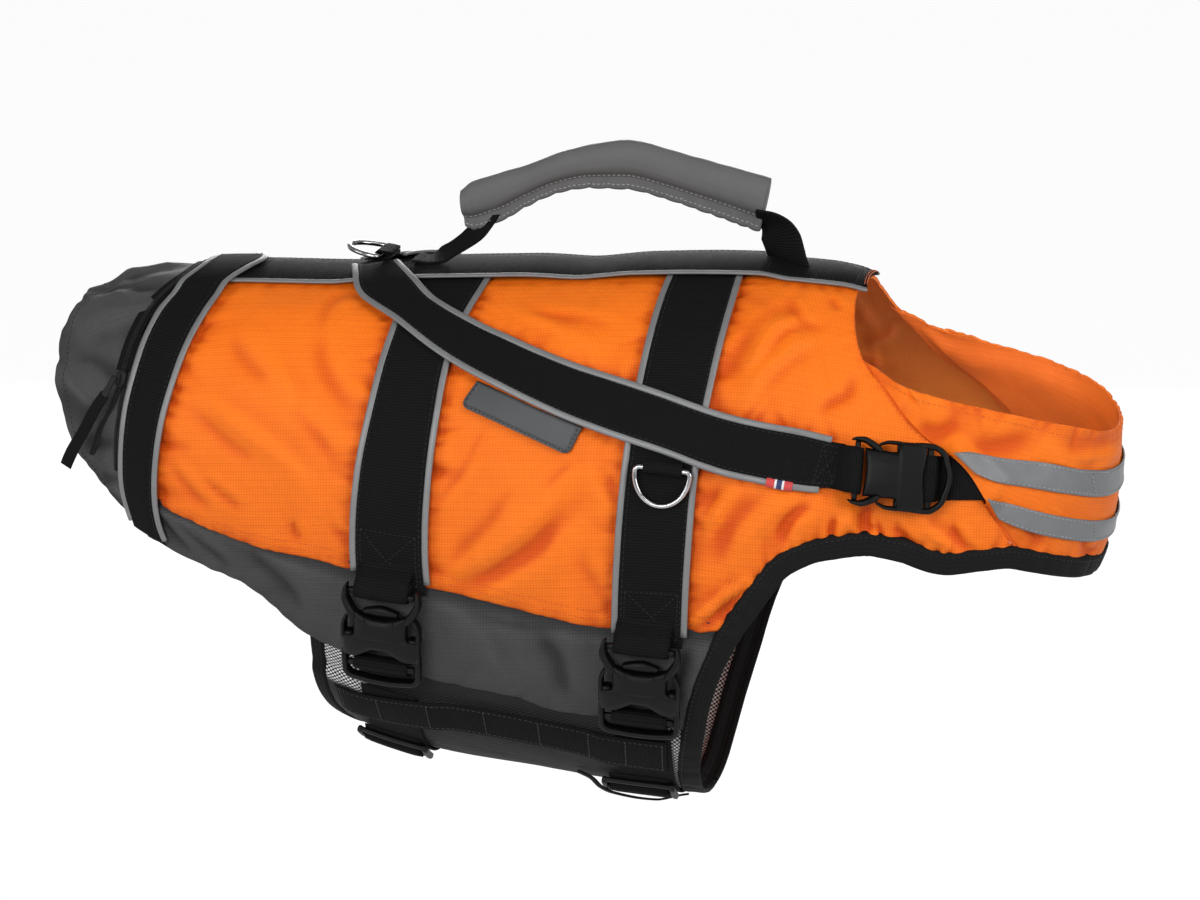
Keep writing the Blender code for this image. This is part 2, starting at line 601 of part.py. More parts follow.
def lower_panel(side_name, side):
    ribs = np.array(LOWER_RIBS)
    top = Line([(s, a * side) for s, a in ribs[:, :2]], even=True)
    low = Line([(s, a * side) for s, a in ribs[:, 2:]], even=True)
    start = Line(mirrored([(2.30, 102.9), (2.38, 110), (2.50, 116.5)], side))
    end = Line(mirrored([(7.78, 101.5), (7.58, 109), (7.45, 118), (7.38, 126.0)], side))
    place = patch(top, low, start, end)
    slab(f"lower_panel_{side_name}", GREY, place, spread(16), spread(3), 0.0, -CLOTH_WALL)


def chest_collar():
    ribs = np.array(COLLAR_RIBS)
    rim = Line(round_front([tuple(r) for r in ribs[:, :2]]), even=True)
    hem = Line(round_front([tuple(r) for r in ribs[:, 2:]]), even=True)
    shares = [share for share, _, _ in COLLAR_SEAM]
    columns = sorted(shares + SLOT_COLUMNS)
    start = Line([(s, -a) for _, s, a in COLLAR_SEAM], knots=shares)
    end = Line([(s, a - 360) for _, s, a in COLLAR_SEAM], knots=shares)
    place = patch(rim, hem, start, end, reach=0.35)

    def gathers(u, v):
        along = abs(u - 0.5) * 2          # 1 at the seams, 0 at the front
        lean = 1 if u < 0.5 else -1
        at_rim = math.exp(-(v / 0.10) ** 2) * ramp(1 - along, 0.04, 0.2)
        at_hem = math.exp(-((1 - v) / 0.10) ** 2)
        uneven = 0.7 + 0.3 * math.sin(9 * u)
        wave_rim = math.sin(2 * math.pi * RIM_GATHERS * along + lean)
        wave_hem = math.sin(2 * math.pi * HEM_GATHERS * along - lean)
        return GATHER_DEPTH * uneven * (0.8 * at_rim * wave_rim + 0.6 * at_hem * wave_hem)

    def outer(u, v):
        return gathers(u, v) + slot_rise(*place(u, v))

    def inner(u, v):
        return outer(u, v) - CLOTH_WALL

    slab("chest_collar", ORANGE, place, spread(54), columns, outer, inner)


def rump_piece():
    hem = Line(both_sides([(s, a) for a, s, _ in RUMP_RIBS]))
    front = Line(both_sides([(s, a) for a, _, s in RUMP_RIBS]))
    folds = [(-70, 0.9, 9, 2.0), (-38, 1.4, 7, 1.6), (52, 1.0, 8, 1.8), (84, 1.5, 8, -1.6),
             (-92, 1.5, 7, -2.0), (18, 1.2, 6, 1.2)]   # angle, station, half width in degrees, depth

    def drape(u, v):
        station, angle = between(hem, front)(u, v)
        free = 1 - ramp(v, 0.3, 0.6)
        return free * sum(depth * math.exp(-((angle - a) / width) ** 2 - ((station - s) / 0.7) ** 2)
                          for a, s, width, depth in folds)

    def under(u, v):
        return drape(u, v) - CLOTH_WALL

    slab("rump_piece", GREY, between(hem, front), spread(30), spread(5), drape, under)


def band_over_back(name, edges, material_name, rows, lift, thickness=WEBBING, with_piping=True):
    """A band over the back with a piping on each edge."""
    rear = Line(both_sides([(s, a) for a, s, _ in edges]))
    front = Line(both_sides([(s, a) for a, _, s in edges]))
    place = between(rear, front)
    body = inset(place, PIPING_WIDTH + SEAM_GAP)

    def inner(u, v):
        return lift(*body(u, v))

    def outer(u, v):
        return inner(u, v) + thickness

    slab(name, material_name, body, rows, spread(2), outer, inner)
    if with_piping:
        piping(f"{name}_piping_rear", place, rows, 0.0, lift)
        piping(f"{name}_piping_front", place, rows, 1.0, lift)


def flat_lift(station, angle):
    return LAY_GAP


def rear_band_lift(station, angle):
    """Over the end of the spine band near the middle, and down on the panels beyond it."""
    return LAY_GAP + 3.0 * (1 - ramp(abs(angle), 19, 27))


def spine_band():
    stations = np.array(SPINE_EDGES)
    edge = {}
    for side_name, side in SIDES:
        rows = [(s, side * angle_of(s, half)) for s, half in stations]
        edge[side_name] = Line(rows)
    place = between(edge["right"], edge["left"])
    body = inset(place, PIPING_WIDTH + SEAM_GAP)

    def inner(u, v):
        return spine_lift(*body(u, v))

    def outer(u, v):
        doubled = WEBBING if u > SPINE_TAB else 0.0
        return inner(u, v) + WEBBING + doubled

    rows = [*spread(24, 0, SPINE_TAB - 0.004), *spread(2, SPINE_TAB, 1.0)]
    slab("spine_band", BLACK, body, rows, spread(4), outer, inner)
    rows = spread(24, 0, 0.985)
    piping("spine_piping_right", place, rows, 0.0, spine_lift)
    piping("spine_piping_left", place, rows, 1.0, spine_lift)


def diagonal_strap(side_name, side):
    low = Line(mirrored(DIAGONAL_LOW, side))
    high = Line(mirrored(DIAGONAL_HIGH, side))
    place = between(low, high)
    body = inset(place, PIPING_WIDTH + SEAM_GAP)

    def inner(u, v):
        return diagonal_lift(*body(u, v))

    def outer(u, v):
        return inner(u, v) + WEBBING

    rows = spread(24, 0.012, DIAGONAL_BARE)
    slab(f"diagonal_strap_{side_name}", BLACK, body, [*rows, 0.98, 1.0], spread(2), outer, inner)
    piping(f"diagonal_piping_low_{side_name}", place, rows, 0.0, diagonal_lift)
    piping(f"diagonal_piping_high_{side_name}", place, rows, 1.0, diagonal_lift)


def small_patch(name, material_name, high, low, side, lift, thickness, rows=6):
    place = between(Line(mirrored(high, side)), Line(mirrored(low, side)))
    slab(name, material_name, place, spread(rows), spread(2), lift + thickness, lift)


def chest_tape(name, edges):
    high, low = (Line(round_front(rows)) for rows in edges)
    place = between(high, low)

    def inner(u, v):
        station, angle = place(u, v)
        return 1.0 + 0.7 * (1 - ramp(station, 11.6, 11.9)) + slot_rise(station, angle)

    def outer(u, v):
        return inner(u, v) + 0.7

    ends = spread(8, 0, 0.22)
    rows = [*ends, *spread(16, 0.22, 0.78)[1:-1], *(1 - ends[::-1])]
    slab(name, "reflective_tape", place, rows, spread(2), outer, inner)


def chest_strap():
    """The strap inside the collar, which comes out over the side panels at both slots."""
    middle = Line(round_front(CHEST_STRAP))
    half = CHEST_STRAP_WIDTH / 2

    def place(u, v):
        here = middle(u)
        ahead = np.array(middle(min(u + 0.01, 1))) - np.array(middle(max(u - 0.01, 0)))
        along, around = form_slopes(*here)
        tangent = along * ahead[0] + around * ahead[1]
        across = np.cross(np.cross(along, around), tangent)
        reached, _ = glide(here, across, (2 * v - 1) * half)
        return reached

    def outer(u, v):
        station, angle = place(u, v)
        under_collar = slot_rise(station, angle) - CLOTH_WALL - 0.7 - 1.9 * ramp(station, 11.47, 11.60)
        return min(LAY_GAP + WEBBING + 0.35, under_collar)

    def inner(u, v):
        return outer(u, v) - WEBBING

    ends = spread(8, 0, 0.14)
    rows = [*ends, *spread(14, 0.14, 0.86)[1:-1], *(1 - ends[::-1])]
    slab("chest_strap", BLACK, place, rows, spread(2), outer, inner)


def edge_strip(edge, width, away):
    """A strip beside a line of places, a width in mm over the form; away is 1 or -1."""
    def place(u, v):
        here = edge(u)
        ahead = np.array(edge(min(u + 0.004, 1))) - np.array(edge(max(u - 0.004, 0)))
        along, around = form_slopes(*here)
        tangent = along * ahead[0] + around * ahead[1]
        across = away * np.cross(np.cross(along, around), tangent)
        reached, _ = glide(here, across, EDGE_GAP + v * width)
        return reached
    return place


def leg_binding(side_name, side):
    edge = Line(mirrored(LEG_EDGE, side))
    place = edge_strip(edge, BINDING_WIDTH, -side)

    def outer(u, v):
        return 0.9 - 0.7 * v * v

    slab(f"leg_binding_{side_name}", "binding_elastic", place, spread(40), (0, 0.55, 1), outer, -2.6)


def belly_lift(station, angle):
    """The belly panel's outer face: inside the lower panels, then out at the form's surface."""
    return -0.5 - 2.7 * (1 - ramp(abs(angle), 126.5, 131))


def belly_panel():
    rear = [(s, -a) for s, a in BELLY_REAR] + [(s, a - 360) for s, a in reversed(BELLY_REAR[:-1])]
    front = [(s, -a) for s, a in BELLY_FRONT] + [(s, a - 360) for s, a in reversed(BELLY_FRONT[:-1])]
    place = between(Line(rear), Line(front))

    def outer(u, v):
        station, angle = place(u, v)
        return belly_lift(station, min(-angle, 360 + angle))

    def inner(u, v):
        return outer(u, v) - CLOTH_WALL

    slab("belly_panel", "belly_twill", place, spread(28), spread(6), outer, inner)
    strip = edge_strip(Line(rear), BELLY_BINDING, -1)

    def bound(u, v):
        station, angle = strip(u, v)
        return belly_lift(station, min(-angle, 360 + angle)) + 0.4

    def bound_under(u, v):
        return bound(u, v) - 2.8

    slab("belly_binding", "binding_elastic", strip, spread(22), spread(2), bound, bound_under)


def belly_strap(name, middle_station):
    """A strap from the right buckle under the belly to the left one."""
    half = 19.0
    ends = 126.6

    def place(u, v):
        angle = -ends - (360 - 2 * ends) * u
        centre = (middle_station, angle)
        reached, _ = glide(centre, (1.0, 0.0, 0.0), (2 * v - 1) * half)
        return np.array([reached[0], angle])

    def inner(u, v):
        return LAY_GAP

    slab(name, BLACK, place, spread(16), spread(2), LAY_GAP + WEBBING, inner)


def ladder(side_name, side):
    """Webbing along the belly's side, sewn over the belly straps."""
    place = between(Line(mirrored(LADDER_HIGH, side)), Line(mirrored(LADDER_LOW, side)))

    def inner(u, v):
        station, angle = place(u, v)
        over = hump(station, 4.56, 5.22, 0.18) + hump(station, 6.62, 7.32, 0.18)
        return LAY_GAP + 2.0 * over

    def outer(u, v):
        return inner(u, v) + WEBBING

    slab(f"ladder_{side_name}", BLACK, place, spread(20), spread(2), outer, inner)


# ---------------------------------------------------------------- hard pieces

def rounded_block(name, place, heading, size, sections, base, material_name):
    """A block that follows the form: length along the heading, rounded across."""
    length, width, thickness = size
    rings = []
    for share, half_share, top, bottom in sections:
        centre, direction = glide(place, heading, (share - 0.5) * length)
        normal = form_normal(*centre)
        across = np.cross(normal, direction)
        half = width / 2 * half_share
        ring = []
        for y, z in ((1, 0.3), (1, 0.7), (0.86, 1), (-0.86, 1), (-1, 0.7), (-1, 0.3), (-0.86, 0),
                     (0.86, 0)):
            spot, _ = glide(centre, across, y * half)
            height = base + thickness * (bottom + (top - bottom) * z)
            ring.append(form_point(*spot) + form_normal(*spot) * height)
        rings.append(ring)
    sweep(name, material_name, rings)


def belly_hardware(side_name, side):
    for where, station, angle in (("rear", 4.90, 108.6), ("front", 6.98, 113.6)):
        down = form_slopes(station, angle * side)[1] * side
        rounded_block(f"belly_buckle_{where}_{side_name}", (station, angle * side), down,
                      BELLY_BUCKLE, BUCKLE_SECTIONS, 4.6, "black_plastic")
    for where, station, angle in (("rear", 4.86, 155.0), ("front", 6.90, 154.0)):
        down = form_slopes(station, angle * side)[1] * side
        rounded_block(f"triglide_{where}_{side_name}", (station, angle * side), down,
                      GLIDE, GLIDE_SECTIONS, LAY_GAP + WEBBING + 1.6, "black_plastic")


def shoulder_buckle(side_name, side):
    start = np.array(form_point(9.78, 73.6 * side))
    end = np.array(form_point(11.20, 88.6 * side))
    rounded_block(f"shoulder_buckle_{side_name}", (10.37, 80.3 * side), end - start,
                  SHOULDER_BUCKLE, BUCKLE_SECTIONS, 3.4, "black_plastic")


def ring_outline():
    """The D's centre line in its own plane: the bar along x, the bow towards +y."""
    half = (RING_WIDTH - RING_WIRE) / 2
    depth = RING_DEPTH - RING_WIRE
    corner = 3.0
    points = [(-half + corner, 0.0), (0.0, 0.0), (half - corner, 0.0), (half - 0.7, 0.8), (half, corner)]
    bow = 9
    for k in range(1, bow):
        turn = math.pi * k / bow
        points.append((half * math.cos(turn), corner + (depth - corner) * math.sin(turn)))
    points += [(-half, corner), (-half + 0.7, 0.8)]
    return points


def d_ring(name, centre, bar, hang, pivot):
    """A D-ring of round wire, its bar through centre, its bow hanging the way of hang."""
    bar = np.array(bar) / np.linalg.norm(bar)
    hang = np.array(hang) / np.linalg.norm(hang)
    normal = np.cross(bar, hang)
    outline = [np.array(p) for p in ring_outline()]
    count = len(outline)
    rings = []
    for k, point in enumerate(outline):
        tangent = outline[(k + 1) % count] - outline[k - 1]
        tangent /= np.linalg.norm(tangent)
        side = np.array([tangent[1], -tangent[0]])
        ring = []
        for n in range(5):
            turn = 2 * math.pi * n / 5
            flat = point + side * math.cos(turn) * RING_WIRE / 2
            ring.append(centre + bar * flat[0] + hang * flat[1] + normal * math.sin(turn) * RING_WIRE / 2)
        rings.append(ring)
    return sweep(name, "chrome_steel", rings, closed=True, origin=tuple(centre), parent=pivot)


def ring_loop(name, centre, bar, hang, tail):
    """Webbing folded round the ring's bar, with a tail of a length away from the bow."""
    bar = np.array(bar) / np.linalg.norm(bar)
    hang = np.array(hang) / np.linalg.norm(hang)
    up = np.cross(bar, hang)
    inside = RING_WIRE / 2 + 0.6
    outside = inside + 1.3
    outer = [(-tail, outside * 0.62)]
    inner = [(-tail, 0.25)]
    for k in range(7):
        turn = math.pi / 2 - math.pi * k / 6
        outer.append((outside * math.cos(turn), outside * math.sin(turn)))
        inner.append((inside * math.cos(turn), inside * math.sin(turn)))
    outer.append((-tail, -outside * 0.62))
    inner.append((-tail, -0.25))
    profile = outer + inner[::-1]
    half = RING_LOOP_WIDTH / 2
    sections = [[centre + bar * x + hang * h + up * z for h, z in profile] for x in (-half, half)]
    build = bmesh.new()
    rings = [[build.verts.new(p) for p in section] for section in sections]
    count = len(profile)
    for k in range(count):
        n = (k + 1) % count
        build.faces.new((rings[0][k], rings[0][n], rings[1][n], rings[1][k]))
    for ring in rings:                      # the end faces, as a strip of quads along the fold
        for k in range(count // 2 - 1):
            build.faces.new((ring[k], ring[k + 1], ring[count - 2 - k], ring[count - 1 - k]))
    return add_object(name, build, BLACK)


def pivot_at(name, point):
    pivot = bpy.data.objects.new(name, None)
    pivot.location = [c * MM for c in point]
    bpy.context.scene.collection.objects.link(pivot)
    return pivot


def top_ring():
    centre = np.array([TOP_RING_X, 0.0, 12.6 - 6.0])
    tilt = math.radians(TOP_RING_TILT)
    hang = (-math.cos(tilt), 0.0, math.sin(tilt))
    pivot = pivot_at("top_ring_pivot", centre)
    d_ring("top_ring", centre, (0, 1, 0), hang, pivot)
    ring_loop("top_ring_loop", centre, (0, 1, 0), (-1, 0, 0), 8.0)


def side_ring(side_name, side):
    place = (SIDE_RING_PLACE[0], SIDE_RING_PLACE[1] * side)
    along, around = form_slopes(*place)
    down = around * side
    normal = form_normal(*place)
    hang = down / np.linalg.norm(down)
    hang = hang * math.cos(0.07) - normal * math.sin(0.07)
    bar = along - hang * along.dot(hang)
    bar /= np.linalg.norm(bar)
    centre = form_point(*place) + normal * 6.6
    pivot = pivot_at(f"{side_name}_ring_pivot", centre)
    d_ring(f"{side_name}_ring", centre, bar * side, hang, pivot)
    ring_loop(f"{side_name}_ring_loop", centre, bar * side, hang, 4.6)


def handle():
    rings = []
    for top_x, top_z, low_x, low_z in GRIP:
        right = [(-half, share) for half, share in GRIP_SECTION]
        left = [(half, share) for half, share in reversed(GRIP_SECTION)]
        ring = []
        for y, share in right + left:
            ring.append((low_x + (top_x - low_x) * share, y, low_z + (top_z - low_z) * share))
        rings.append(ring)
    sweep("handle_grip", "grip_cloth", rings)
    for name, rows in (("handle_leg_rear", REAR_LEG), ("handle_leg_front", FRONT_LEG)):
        sizes = smooth_rows(rows, 3)
        centres = np.array([(x, 0.0, z) for x, z, *_ in sizes])
        halves = sizes[:, 2:]
        paths = np.gradient(centres, axis=0)
        sections = []
        for centre, half, path in zip(centres, halves, paths):
            thick = np.cross(path, half)
            thick *= LEG_THICK / 2 / np.linalg.norm(thick)
            corners = (centre + half + thick, centre - half + thick, centre - half - thick,
                       centre + half - thick)
            sections.append(corners)
        sweep(name, BLACK, sections)


def zip_pieces():
    """The zip's tape beside the rear band, its slider, and the pull that swings on the slider."""
    rear = Line(both_sides([(s - 0.03, a) for a, s, _ in REAR_BAND_EDGES]))
    tape = edge_strip(rear, ZIP_TAPE_WIDTH, 1)
    start = min(u for u in spread(30) if rear(u)[1] > 3 - SLIDER_PLACE[1])
    slab("zip_tape", BLACK, tape, spread(26, start, 0.97), spread(1), LAY_GAP + 0.9, LAY_GAP)

    station, angle = SLIDER_PLACE[0], -SLIDER_PLACE[1]
    down = -form_slopes(station, angle)[1]
    flat_sections = [(0.0, 0.7, 0.8, 0.1), (0.25, 1.0, 1.0, 0.0), (0.7, 0.9, 1.0, 0.0), (1.0, 0.5, 0.7, 0.2)]
    rounded_block("zip_slider", (station, angle), down, SLIDER_SIZE, flat_sections, 1.6,
                  "black_plastic")

    hinge = form_point(station, angle) + form_normal(station, angle) * 9.4
    end = np.array(RIBBON_END)
    reach = end - hinge
    length = np.linalg.norm(reach)
    direction = reach / length
    normal = form_normal(station, angle)
    normal = normal - direction * normal.dot(direction)
    normal /= np.linalg.norm(normal)
    across = np.cross(normal, direction)
    pivot = pivot_at("zip_pull_pivot", hinge)

    tab_length, tab_width, tab_thick = TAB_SIZE
    rows = [(0.0, tab_width, tab_thick), (tab_length - 1, tab_width, tab_thick),
            (tab_length, PULL_WIDTH, 1.4), ((tab_length + length) / 2, PULL_WIDTH, 1.4),
            (length, PULL_WIDTH, 1.4)]
    sections = []
    for distance, width, thickness in rows:
        middle = hinge + direction * distance
        sections.append([middle + across * width / 2 * y + normal * thickness / 2 * z
                         for y, z in ((1, 1), (-1, 1), (-1, -1), (1, -1))])
    sweep("zip_pull", BLACK, sections, origin=tuple(hinge), parent=pivot)


def belly_keeper():
    half_width, half_thick = 2.6, 0.75
    rows = smooth_rows(KEEPER, 2)
    middles = np.array([lifted((station, -angle), lift) for station, angle, lift in rows])
    sections = []
    for (station, angle, _), middle, path in zip(rows, middles, np.gradient(middles, axis=0)):
        side = np.cross(form_normal(station, -angle), path)
        side *= half_width / np.linalg.norm(side)
        up = np.cross(path, side)
        up *= half_thick / np.linalg.norm(up)
        sections.append([middle + side + up, middle - side + up, middle - side - up,
                         middle + side - up])
    sweep("belly_keeper", "binding_elastic", sections)


def main():
    for old in list(bpy.data.objects):
        bpy.data.objects.remove(old)
    for side_name, side in SIDES:
        side_panel(side_name, side)
        lower_panel(side_name, side)
        diagonal_strap(side_name, side)
        leg_binding(side_name, side)
        ladder(side_name, side)
        belly_hardware(side_name, side)
        shoulder_buckle(side_name, side)
        side_ring(side_name, side)
    rump_piece()
    chest_collar()
    belly_panel()
    spine_band()
    band_over_back("rear_band", REAR_BAND_EDGES, BLACK, spread(32), rear_band_lift)
    band_over_back("mid_strap", MID_STRAP_EDGES, BLACK, spread(28), flat_lift)
    band_over_back("front_strap", FRONT_STRAP_EDGES, BLACK, spread(28), flat_lift)
    chest_tape("chest_tape_upper", TAPE_UPPER)
    chest_tape("chest_tape_lower", TAPE_LOWER)
    chest_strap()
    belly_strap("belly_strap_rear", 4.90)
    belly_strap("belly_strap_front", 6.98)
    small_patch("label_patch", "patch_rubber", LABEL_HIGH, LABEL_LOW, -1, 1.0, 1.6, rows=10)
    small_patch("flag_tag", "flag_cloth", TAG_HIGH, TAG_LOW, -1, 3.7, 1.0, rows=2)
    top_ring()
    handle()
    zip_pieces()
    belly_keeper()


main()
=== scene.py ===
"""Looks of the dog life jacket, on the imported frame.

Sizes are in millimetres until a mesh is made. A place on the jacket is a station (which counts the
rings of RINGS from the rump to the throat) and an angle round the ring: 0 on the spine, 180 under
the belly, negative on the dog's right. A lift is a distance outward from the panels' skin.
"""
import json
import math

import bpy
import numpy as np
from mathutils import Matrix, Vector

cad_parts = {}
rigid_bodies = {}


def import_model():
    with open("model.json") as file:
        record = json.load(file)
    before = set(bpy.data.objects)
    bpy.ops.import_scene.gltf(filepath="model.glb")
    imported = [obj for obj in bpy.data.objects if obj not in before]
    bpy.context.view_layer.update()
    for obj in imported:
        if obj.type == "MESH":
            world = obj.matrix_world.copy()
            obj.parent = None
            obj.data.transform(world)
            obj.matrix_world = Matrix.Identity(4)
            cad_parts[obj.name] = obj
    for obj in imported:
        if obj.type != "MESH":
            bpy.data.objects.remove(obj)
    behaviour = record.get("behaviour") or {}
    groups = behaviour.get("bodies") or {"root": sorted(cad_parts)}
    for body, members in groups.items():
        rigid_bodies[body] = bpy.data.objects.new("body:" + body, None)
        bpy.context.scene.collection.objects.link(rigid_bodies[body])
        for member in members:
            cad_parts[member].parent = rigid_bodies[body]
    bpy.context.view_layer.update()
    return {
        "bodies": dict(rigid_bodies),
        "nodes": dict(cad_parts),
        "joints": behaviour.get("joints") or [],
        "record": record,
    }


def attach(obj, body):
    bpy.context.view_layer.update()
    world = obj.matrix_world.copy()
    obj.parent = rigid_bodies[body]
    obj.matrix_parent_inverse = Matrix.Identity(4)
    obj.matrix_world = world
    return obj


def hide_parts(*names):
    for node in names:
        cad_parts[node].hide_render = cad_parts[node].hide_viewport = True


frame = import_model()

MM = 0.001

# ---------------------------------------------------------------- camera, light and floor

AZIMUTH, ELEVATION = 12.0, 14.0
DISTANCE = 3.0
TARGET = Vector((-0.013, 0.0, -0.122))
LENS = 135.0
FLOOR_Z = -0.85
WHITE = (1.0, 1.0, 1.0)
BLACK = (0.0, 0.0, 0.0)
WORLD_STRENGTH = 0.30
# name, azimuth, elevation, distance, size, power
LIGHTS = [("key", -14, 20, 3.2, (1.8, 1.2), 52), ("front_fill", 62, 20, 3.4, (2.0, 1.6), 52),
          ("top_front", 40, 52, 3.2, (1.4, 1.2), 14), ("rear_fill", -62, 14, 3.4, (1.6, 1.4), 20),
          ("far_side", 190, 8, 3.2, (1.8, 1.2), 52)]
FLOOR_SIZE = 40.0
WALL_SIDES, WALL_REACH, WALL_TOP = 48, 38.0, 40.0


def direction(azimuth, elevation):
    a, e = math.radians(azimuth), math.radians(elevation)
    return Vector((math.sin(a) * math.cos(e), -math.cos(a) * math.cos(e), math.sin(e)))


def look_at_target(name, data, azimuth, elevation, distance):
    """A camera or a lamp that looks at the target from a direction."""
    made = bpy.data.objects.new(name, data)
    back = direction(azimuth, elevation)
    made.location = TARGET + back * distance
    made.rotation_euler = back.to_track_quat("Z", "Y").to_euler()
    bpy.context.scene.collection.objects.link(made)
    return made


def add_camera():
    data = bpy.data.cameras.new("camera")
    data.lens = LENS
    data.sensor_width = 36.0
    data.clip_end = 100.0
    bpy.context.scene.camera = look_at_target("camera", data, AZIMUTH, ELEVATION, DISTANCE)


def add_light(name, azimuth, elevation, distance, size, power):
    data = bpy.data.lights.new(name, "AREA")
    data.shape = "RECTANGLE"
    data.size, data.size_y = size
    data.energy = power
    look_at_target(name, data, azimuth, elevation, distance)


def plain_material(name, color, glow):
    made = bpy.data.materials.new(name)
    made.use_nodes = True
    shader = made.node_tree.nodes["Principled BSDF"]
    shader.inputs["Base Color"].default_value = (*color, 1.0)
    shader.inputs["Roughness"].default_value = 0.9
    shader.inputs["Specular IOR Level"].default_value = 0.0
    shader.inputs["Emission Color"].default_value = (*WHITE, 1.0)
    shader.inputs["Emission Strength"].default_value = glow
    return made


def add_backdrop(name, corners, faces, material):
    """A stage piece that is seen, but throws no light on the jacket."""
    mesh = bpy.data.meshes.new(name)
    mesh.from_pydata(corners, [], faces)
    mesh.materials.append(material)
    made = bpy.data.objects.new(name, mesh)
    made.visible_diffuse = False
    bpy.context.scene.collection.objects.link(made)
    return made


def add_stage():
    world = bpy.data.worlds.new("studio")
    world.use_nodes = True
    background = world.node_tree.nodes["Background"]
    background.inputs["Color"].default_value = (*WHITE, 1.0)
    background.inputs["Strength"].default_value = WORLD_STRENGTH
    bpy.context.scene.world = world
    bpy.context.scene.view_settings.view_transform = "Standard"
    for light in LIGHTS:
        add_light(*light)
    corners = [(x * FLOOR_SIZE, y * FLOOR_SIZE, FLOOR_Z) for x, y in ((-1, -1), (1, -1), (1, 1), (-1, 1))]
    add_backdrop("floor", corners, [(0, 1, 2, 3)], plain_material("floor_paper", (0.12, 0.12, 0.12), 0.93))
    # A pale wall all round, so that low views see no horizon.
    turns = [2 * math.pi * k / WALL_SIDES for k in range(WALL_SIDES)]
    ring = [(WALL_REACH * math.cos(t), WALL_REACH * math.sin(t)) for t in turns]
    corners = [(x, y, z) for z in (FLOOR_Z - 0.5, WALL_TOP) for x, y in ring]
    faces = [(k, (k + 1) % WALL_SIDES, WALL_SIDES + (k + 1) % WALL_SIDES, WALL_SIDES + k)
             for k in range(WALL_SIDES)]
    backdrop = add_backdrop("pale_wall", corners, faces, plain_material("wall_paper", BLACK, 1.0))
    backdrop.visible_glossy = False
    backdrop.visible_shadow = False


add_camera()
add_stage()

# ---------------------------------------------------------------- the body form

# Each ring is a straight cut in side view, from a top point on the spine to a low point under the
# belly. Across, it is a superellipse with its own power above and below the widest height.
# name, top_x, top_z, low_x, low_z, half_width, widest (share of the way down), top_power, low_power
RINGS = [
    ("hem",      -392, -38, -386, -158,  46, 0.48, 2.0, 2.0),
    ("rump",     -340, -18, -352, -196,  78, 0.50, 2.1, 2.1),
    ("zip",      -295, -10, -318, -222, 100, 0.50, 2.2, 2.2),
    ("rear",     -258,  -7, -288, -242, 112, 0.50, 2.2, 2.2),
    ("loin",     -180,  -6, -205, -297, 124, 0.48, 2.3, 2.3),
    ("mid",      -108,  -2, -128, -327, 130, 0.48, 2.3, 2.3),
    ("rib",       -20,   3,  -40, -339, 132, 0.48, 2.3, 2.3),
    ("front",      62,   8,   35, -346, 132, 0.48, 2.3, 2.3),
    ("girth",     110,   9,  100, -350, 130, 0.48, 2.2, 2.2),
    ("elbow",     138,   8,  180, -335, 124, 0.48, 2.2, 2.2),
    ("shoulder",  154,   6,  248, -285, 114, 0.48, 2.1, 2.2),
    ("chest",     162,   3,  304, -220, 104, 0.50, 2.1, 2.2),
    ("sternum",   166,   1,  330, -152,  94, 0.52, 2.1, 2.2),
    ("throat",    168,   0,  334,  -86,  84, 0.55, 2.1, 2.3),
]
RING_SIZES = np.array([ring[1:] for ring in RINGS], dtype=float)
RING_SLOPES = np.gradient(RING_SIZES, axis=0)
STATION_MM = 70.0
ANGLE_MM = 2.2

# Large soft folds of the side panels: side, station, angle, heading in degrees below forward,
# half length, half width, depth.
FOLDS = [
    ("right", 8.95, 80.0, 12, 46, 13, 4.0), ("right", 9.75, 82.0, 24, 30, 11, -3.0),
    ("right", 3.60, 50.0, 48, 55, 16, 2.0), ("right", 5.75, 86.0, -40, 48, 16, 2.2),
    ("right", 6.20, 76.0, 62, 50, 15, -1.8), ("right", 8.10, 45.0, 75, 60, 18, 2.4),
    ("right", 9.30, 38.0, 60, 50, 14, -2.0), ("right", 3.80, 88.0, 30, 60, 16, -1.8),
    ("left", 9.05, 79.0, 16, 44, 13, 3.6), ("left", 9.85, 83.0, 20, 28, 11, -2.8),
    ("left", 3.50, 62.0, 35, 58, 16, 2.2), ("left", 5.90, 82.0, -52, 50, 16, 2.0),
    ("left", 6.10, 68.0, 40, 42, 15, -1.6), ("left", 8.20, 50.0, 82, 55, 18, 2.2),
    ("left", 9.20, 44.0, 50, 46, 14, -1.8), ("left", 3.90, 92.0, 12, 52, 15, -1.6)]
PILLOW = 2.4
# Where along the body each foam field is full, and how softly it sets in, in stations.
FIELDS = ((3.60, 3.95, 0.48), (5.82, 6.10, 0.38), (8.05, 8.5, 0.42))
STRAPPED = ((4.5, 5.4), (6.55, 7.55))            # stations that the girth straps keep free of folds
STRAP_STEPS = ((4.42, 5.54), (6.46, 7.72))       # stations where a band steps over a girth strap
NEAR_STATION, NEAR_ANGLE = 0.03, 0.6             # how far apart slopes are read


def hermite(start, start_slope, end, end_slope, t):
    """A smooth run from start to end with its slopes at both, read at t from 0 to 1."""
    return ((1 + 2 * t) * (1 - t) ** 2 * start + t * (1 - t) ** 2 * start_slope
            + t * t * (3 - 2 * t) * end + t * t * (t - 1) * end_slope)


def dot(a, b):
    return (a * b).sum(axis=-1)


def unit(v):
    return v / np.maximum(np.linalg.norm(v, axis=-1, keepdims=True), 1e-9)


def ramp(value, start, end):
    """0 up to start, 1 from end on, and smooth between them."""
    t = np.clip((np.asarray(value, float) - start) / (end - start), 0.0, 1.0)
    return t * t * (3 - 2 * t)


